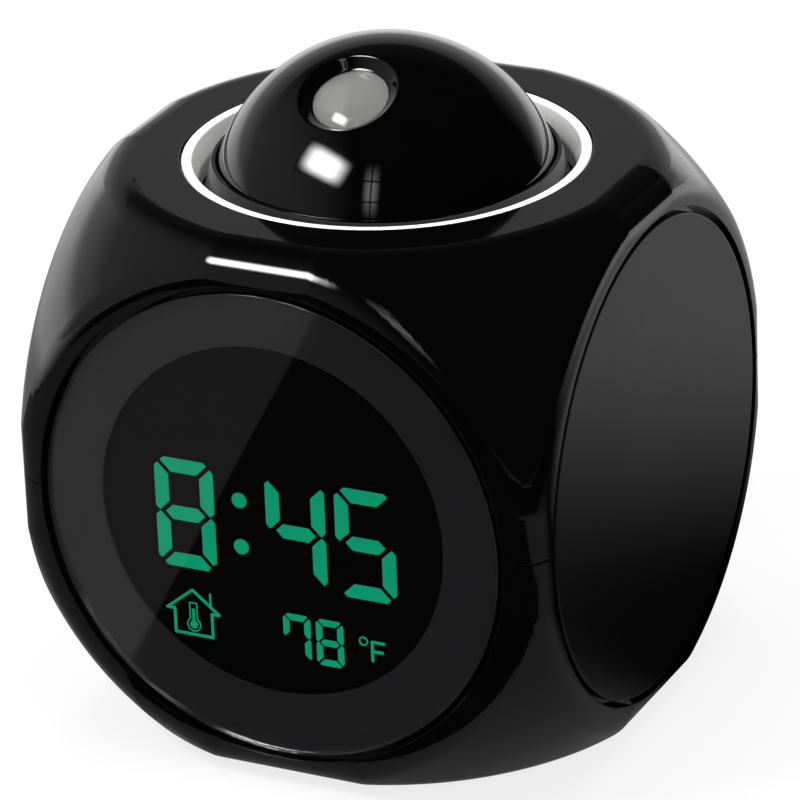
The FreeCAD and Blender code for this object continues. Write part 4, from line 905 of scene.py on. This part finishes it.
def hung_card(name, direction, distance, size, level, edge, panes=(1, 1), gap=0.0):
    """A card in a direction from the ball, facing it, whole or split into panes."""
    half_x, half_y = size[0] / 2, size[1] / 2
    columns, rows = panes
    verts, faces = [], []
    for column in range(columns):
        for row in range(rows):
            x0 = -half_x + size[0] * column / columns + gap / 2
            x1 = -half_x + size[0] * (column + 1) / columns - gap / 2
            y0 = -half_y + size[1] * row / rows + gap / 2
            y1 = -half_y + size[1] * (row + 1) / rows - gap / 2
            first = len(verts)
            verts += [(x0, y0, 0), (x1, y0, 0), (x1, y1, 0), (x0, y1, 0)]
            faces.append((first, first + 1, first + 2, first + 3))
    card = mesh_piece(name, verts, faces)
    card.location = Vector(BALL_PLACE) * MM + direction * distance
    card.rotation_mode = "QUATERNION"
    level_side = Vector((-direction.y, direction.x, 0)).normalized()
    upright = (-direction).cross(level_side)
    card.rotation_quaternion = Matrix((level_side, upright, -direction)).transposed().to_quaternion()
    card.data.materials.append(glow_material(name, soft_edges(half_x, half_y, level, edge)))
    mirrored_only(card)


HAZE_LEVEL = 0.006
LEFT_LEVEL = 0.24
BACKDROP_TURN = 0.25
BACK_SHARE, LEFT_SHARE = (0.25, 0.85), (0.3, 0.95)
BACKDROP_STOPS = ((0.0, 1.0), (0.12, 0.4), (0.38, 0.2), (0.47, 0.03), (1.0, 0.0))
DIFFUSE_LEVEL = 0.35


def make_world():
    """Even light for the diffuse surfaces; gloss sees dim air and a pale backdrop behind and left."""
    world = bpy.data.worlds.new("studio")
    bpy.context.scene.world = world
    world.use_nodes = True
    tree = world.node_tree
    back = tree.nodes["Background"]
    back.inputs["Color"].default_value = (1, 1, 1, 1)
    path = add(tree, "ShaderNodeLightPath")
    place = add(tree, "ShaderNodeTexCoord")
    split = add(tree, "ShaderNodeSeparateXYZ")
    tree.links.new(place.outputs["Generated"], split.inputs["Vector"])
    ramp = add(tree, "ShaderNodeValToRGB")
    ramp.color_ramp.interpolation = "EASE"
    for number, (position, level) in enumerate(BACKDROP_STOPS):
        stops = ramp.color_ramp.elements
        stop = stops[0] if number == 0 else stops[-1] if position == 1 else stops.new(position)
        stop.color = (level, level, level, 1)
    tree.links.new(split.outputs["Z"], ramp.inputs["Fac"])
    around = place.outputs["Generated"]
    towards_back = pointing(tree, around, (BACKWARD - RIGHT * BACKDROP_TURN).normalized())
    towards_left = pointing(tree, around, -RIGHT)
    share = spread(tree, towards_back, 0.0, 1.0, *BACK_SHARE, "SMOOTHSTEP")
    left = spread(tree, towards_left, HAZE_LEVEL, LEFT_LEVEL, *LEFT_SHARE, "SMOOTHSTEP")
    backdrop = math_node(tree, "MULTIPLY", ramp.outputs["Color"], share)
    backdrop = math_node(tree, "MAXIMUM", backdrop, left)
    mirrored = math_node(tree, "MAXIMUM", path.outputs["Is Glossy Ray"],
                         path.outputs["Is Transmission Ray"])
    shiny = math_node(tree, "MULTIPLY", backdrop, mirrored)
    dull = math_node(tree, "MULTIPLY", math_node(tree, "SUBTRACT", 1.0, mirrored), DIFFUSE_LEVEL)
    level = math_node(tree, "MAXIMUM", math_node(tree, "ADD", shiny, dull),
                      path.outputs["Is Camera Ray"])
    tree.links.new(level, back.inputs["Strength"])


MIDDLE = Vector((0, 0, BODY_MIDDLE)) * MM
LAMPS = {
    "key": ((-0.55, -0.55, 0.95), (0.35, 0.35), 10.0),
    "fill": ((0.9, -0.5, 0.7), (0.5, 0.8), 6.0),
    "top": ((0.0, 0.2, 1.1), (0.8, 0.8), 9.0),
}
SOFTBOX = {"distance": 0.9, "size": (0.60, 0.32), "level": 26.0, "edge": 0.75}
WINDOW = {"distance": 1.1, "size": (0.24, 0.75), "level": 2.2, "edge": 0.9, "panes": (2, 3), "gap": 0.02}


def lamp(name, at, size, power):
    """A soft rectangular lamp that faces the middle of the clock."""
    light = bpy.data.lights.new(name, "AREA")
    light.shape = "RECTANGLE"
    light.size, light.size_y = size
    light.energy = power
    piece = new_piece(name, light)
    piece.location = at
    piece.rotation_mode = "QUATERNION"
    piece.rotation_quaternion = (MIDDLE - Vector(at)).to_track_quat("-Z", "Y")
    piece.visible_glossy = False


make_floor()
make_floor_cards()
make_world()
for name, (at, size, power) in LAMPS.items():
    lamp(name, at, size, power)
hung_card("softbox", ball_mirror(SOFTBOX_PIXEL), **SOFTBOX)
hung_card("window", ball_mirror(WINDOW_PIXEL), **WINDOW)

bpy.context.scene.view_settings.view_transform = "Standard"
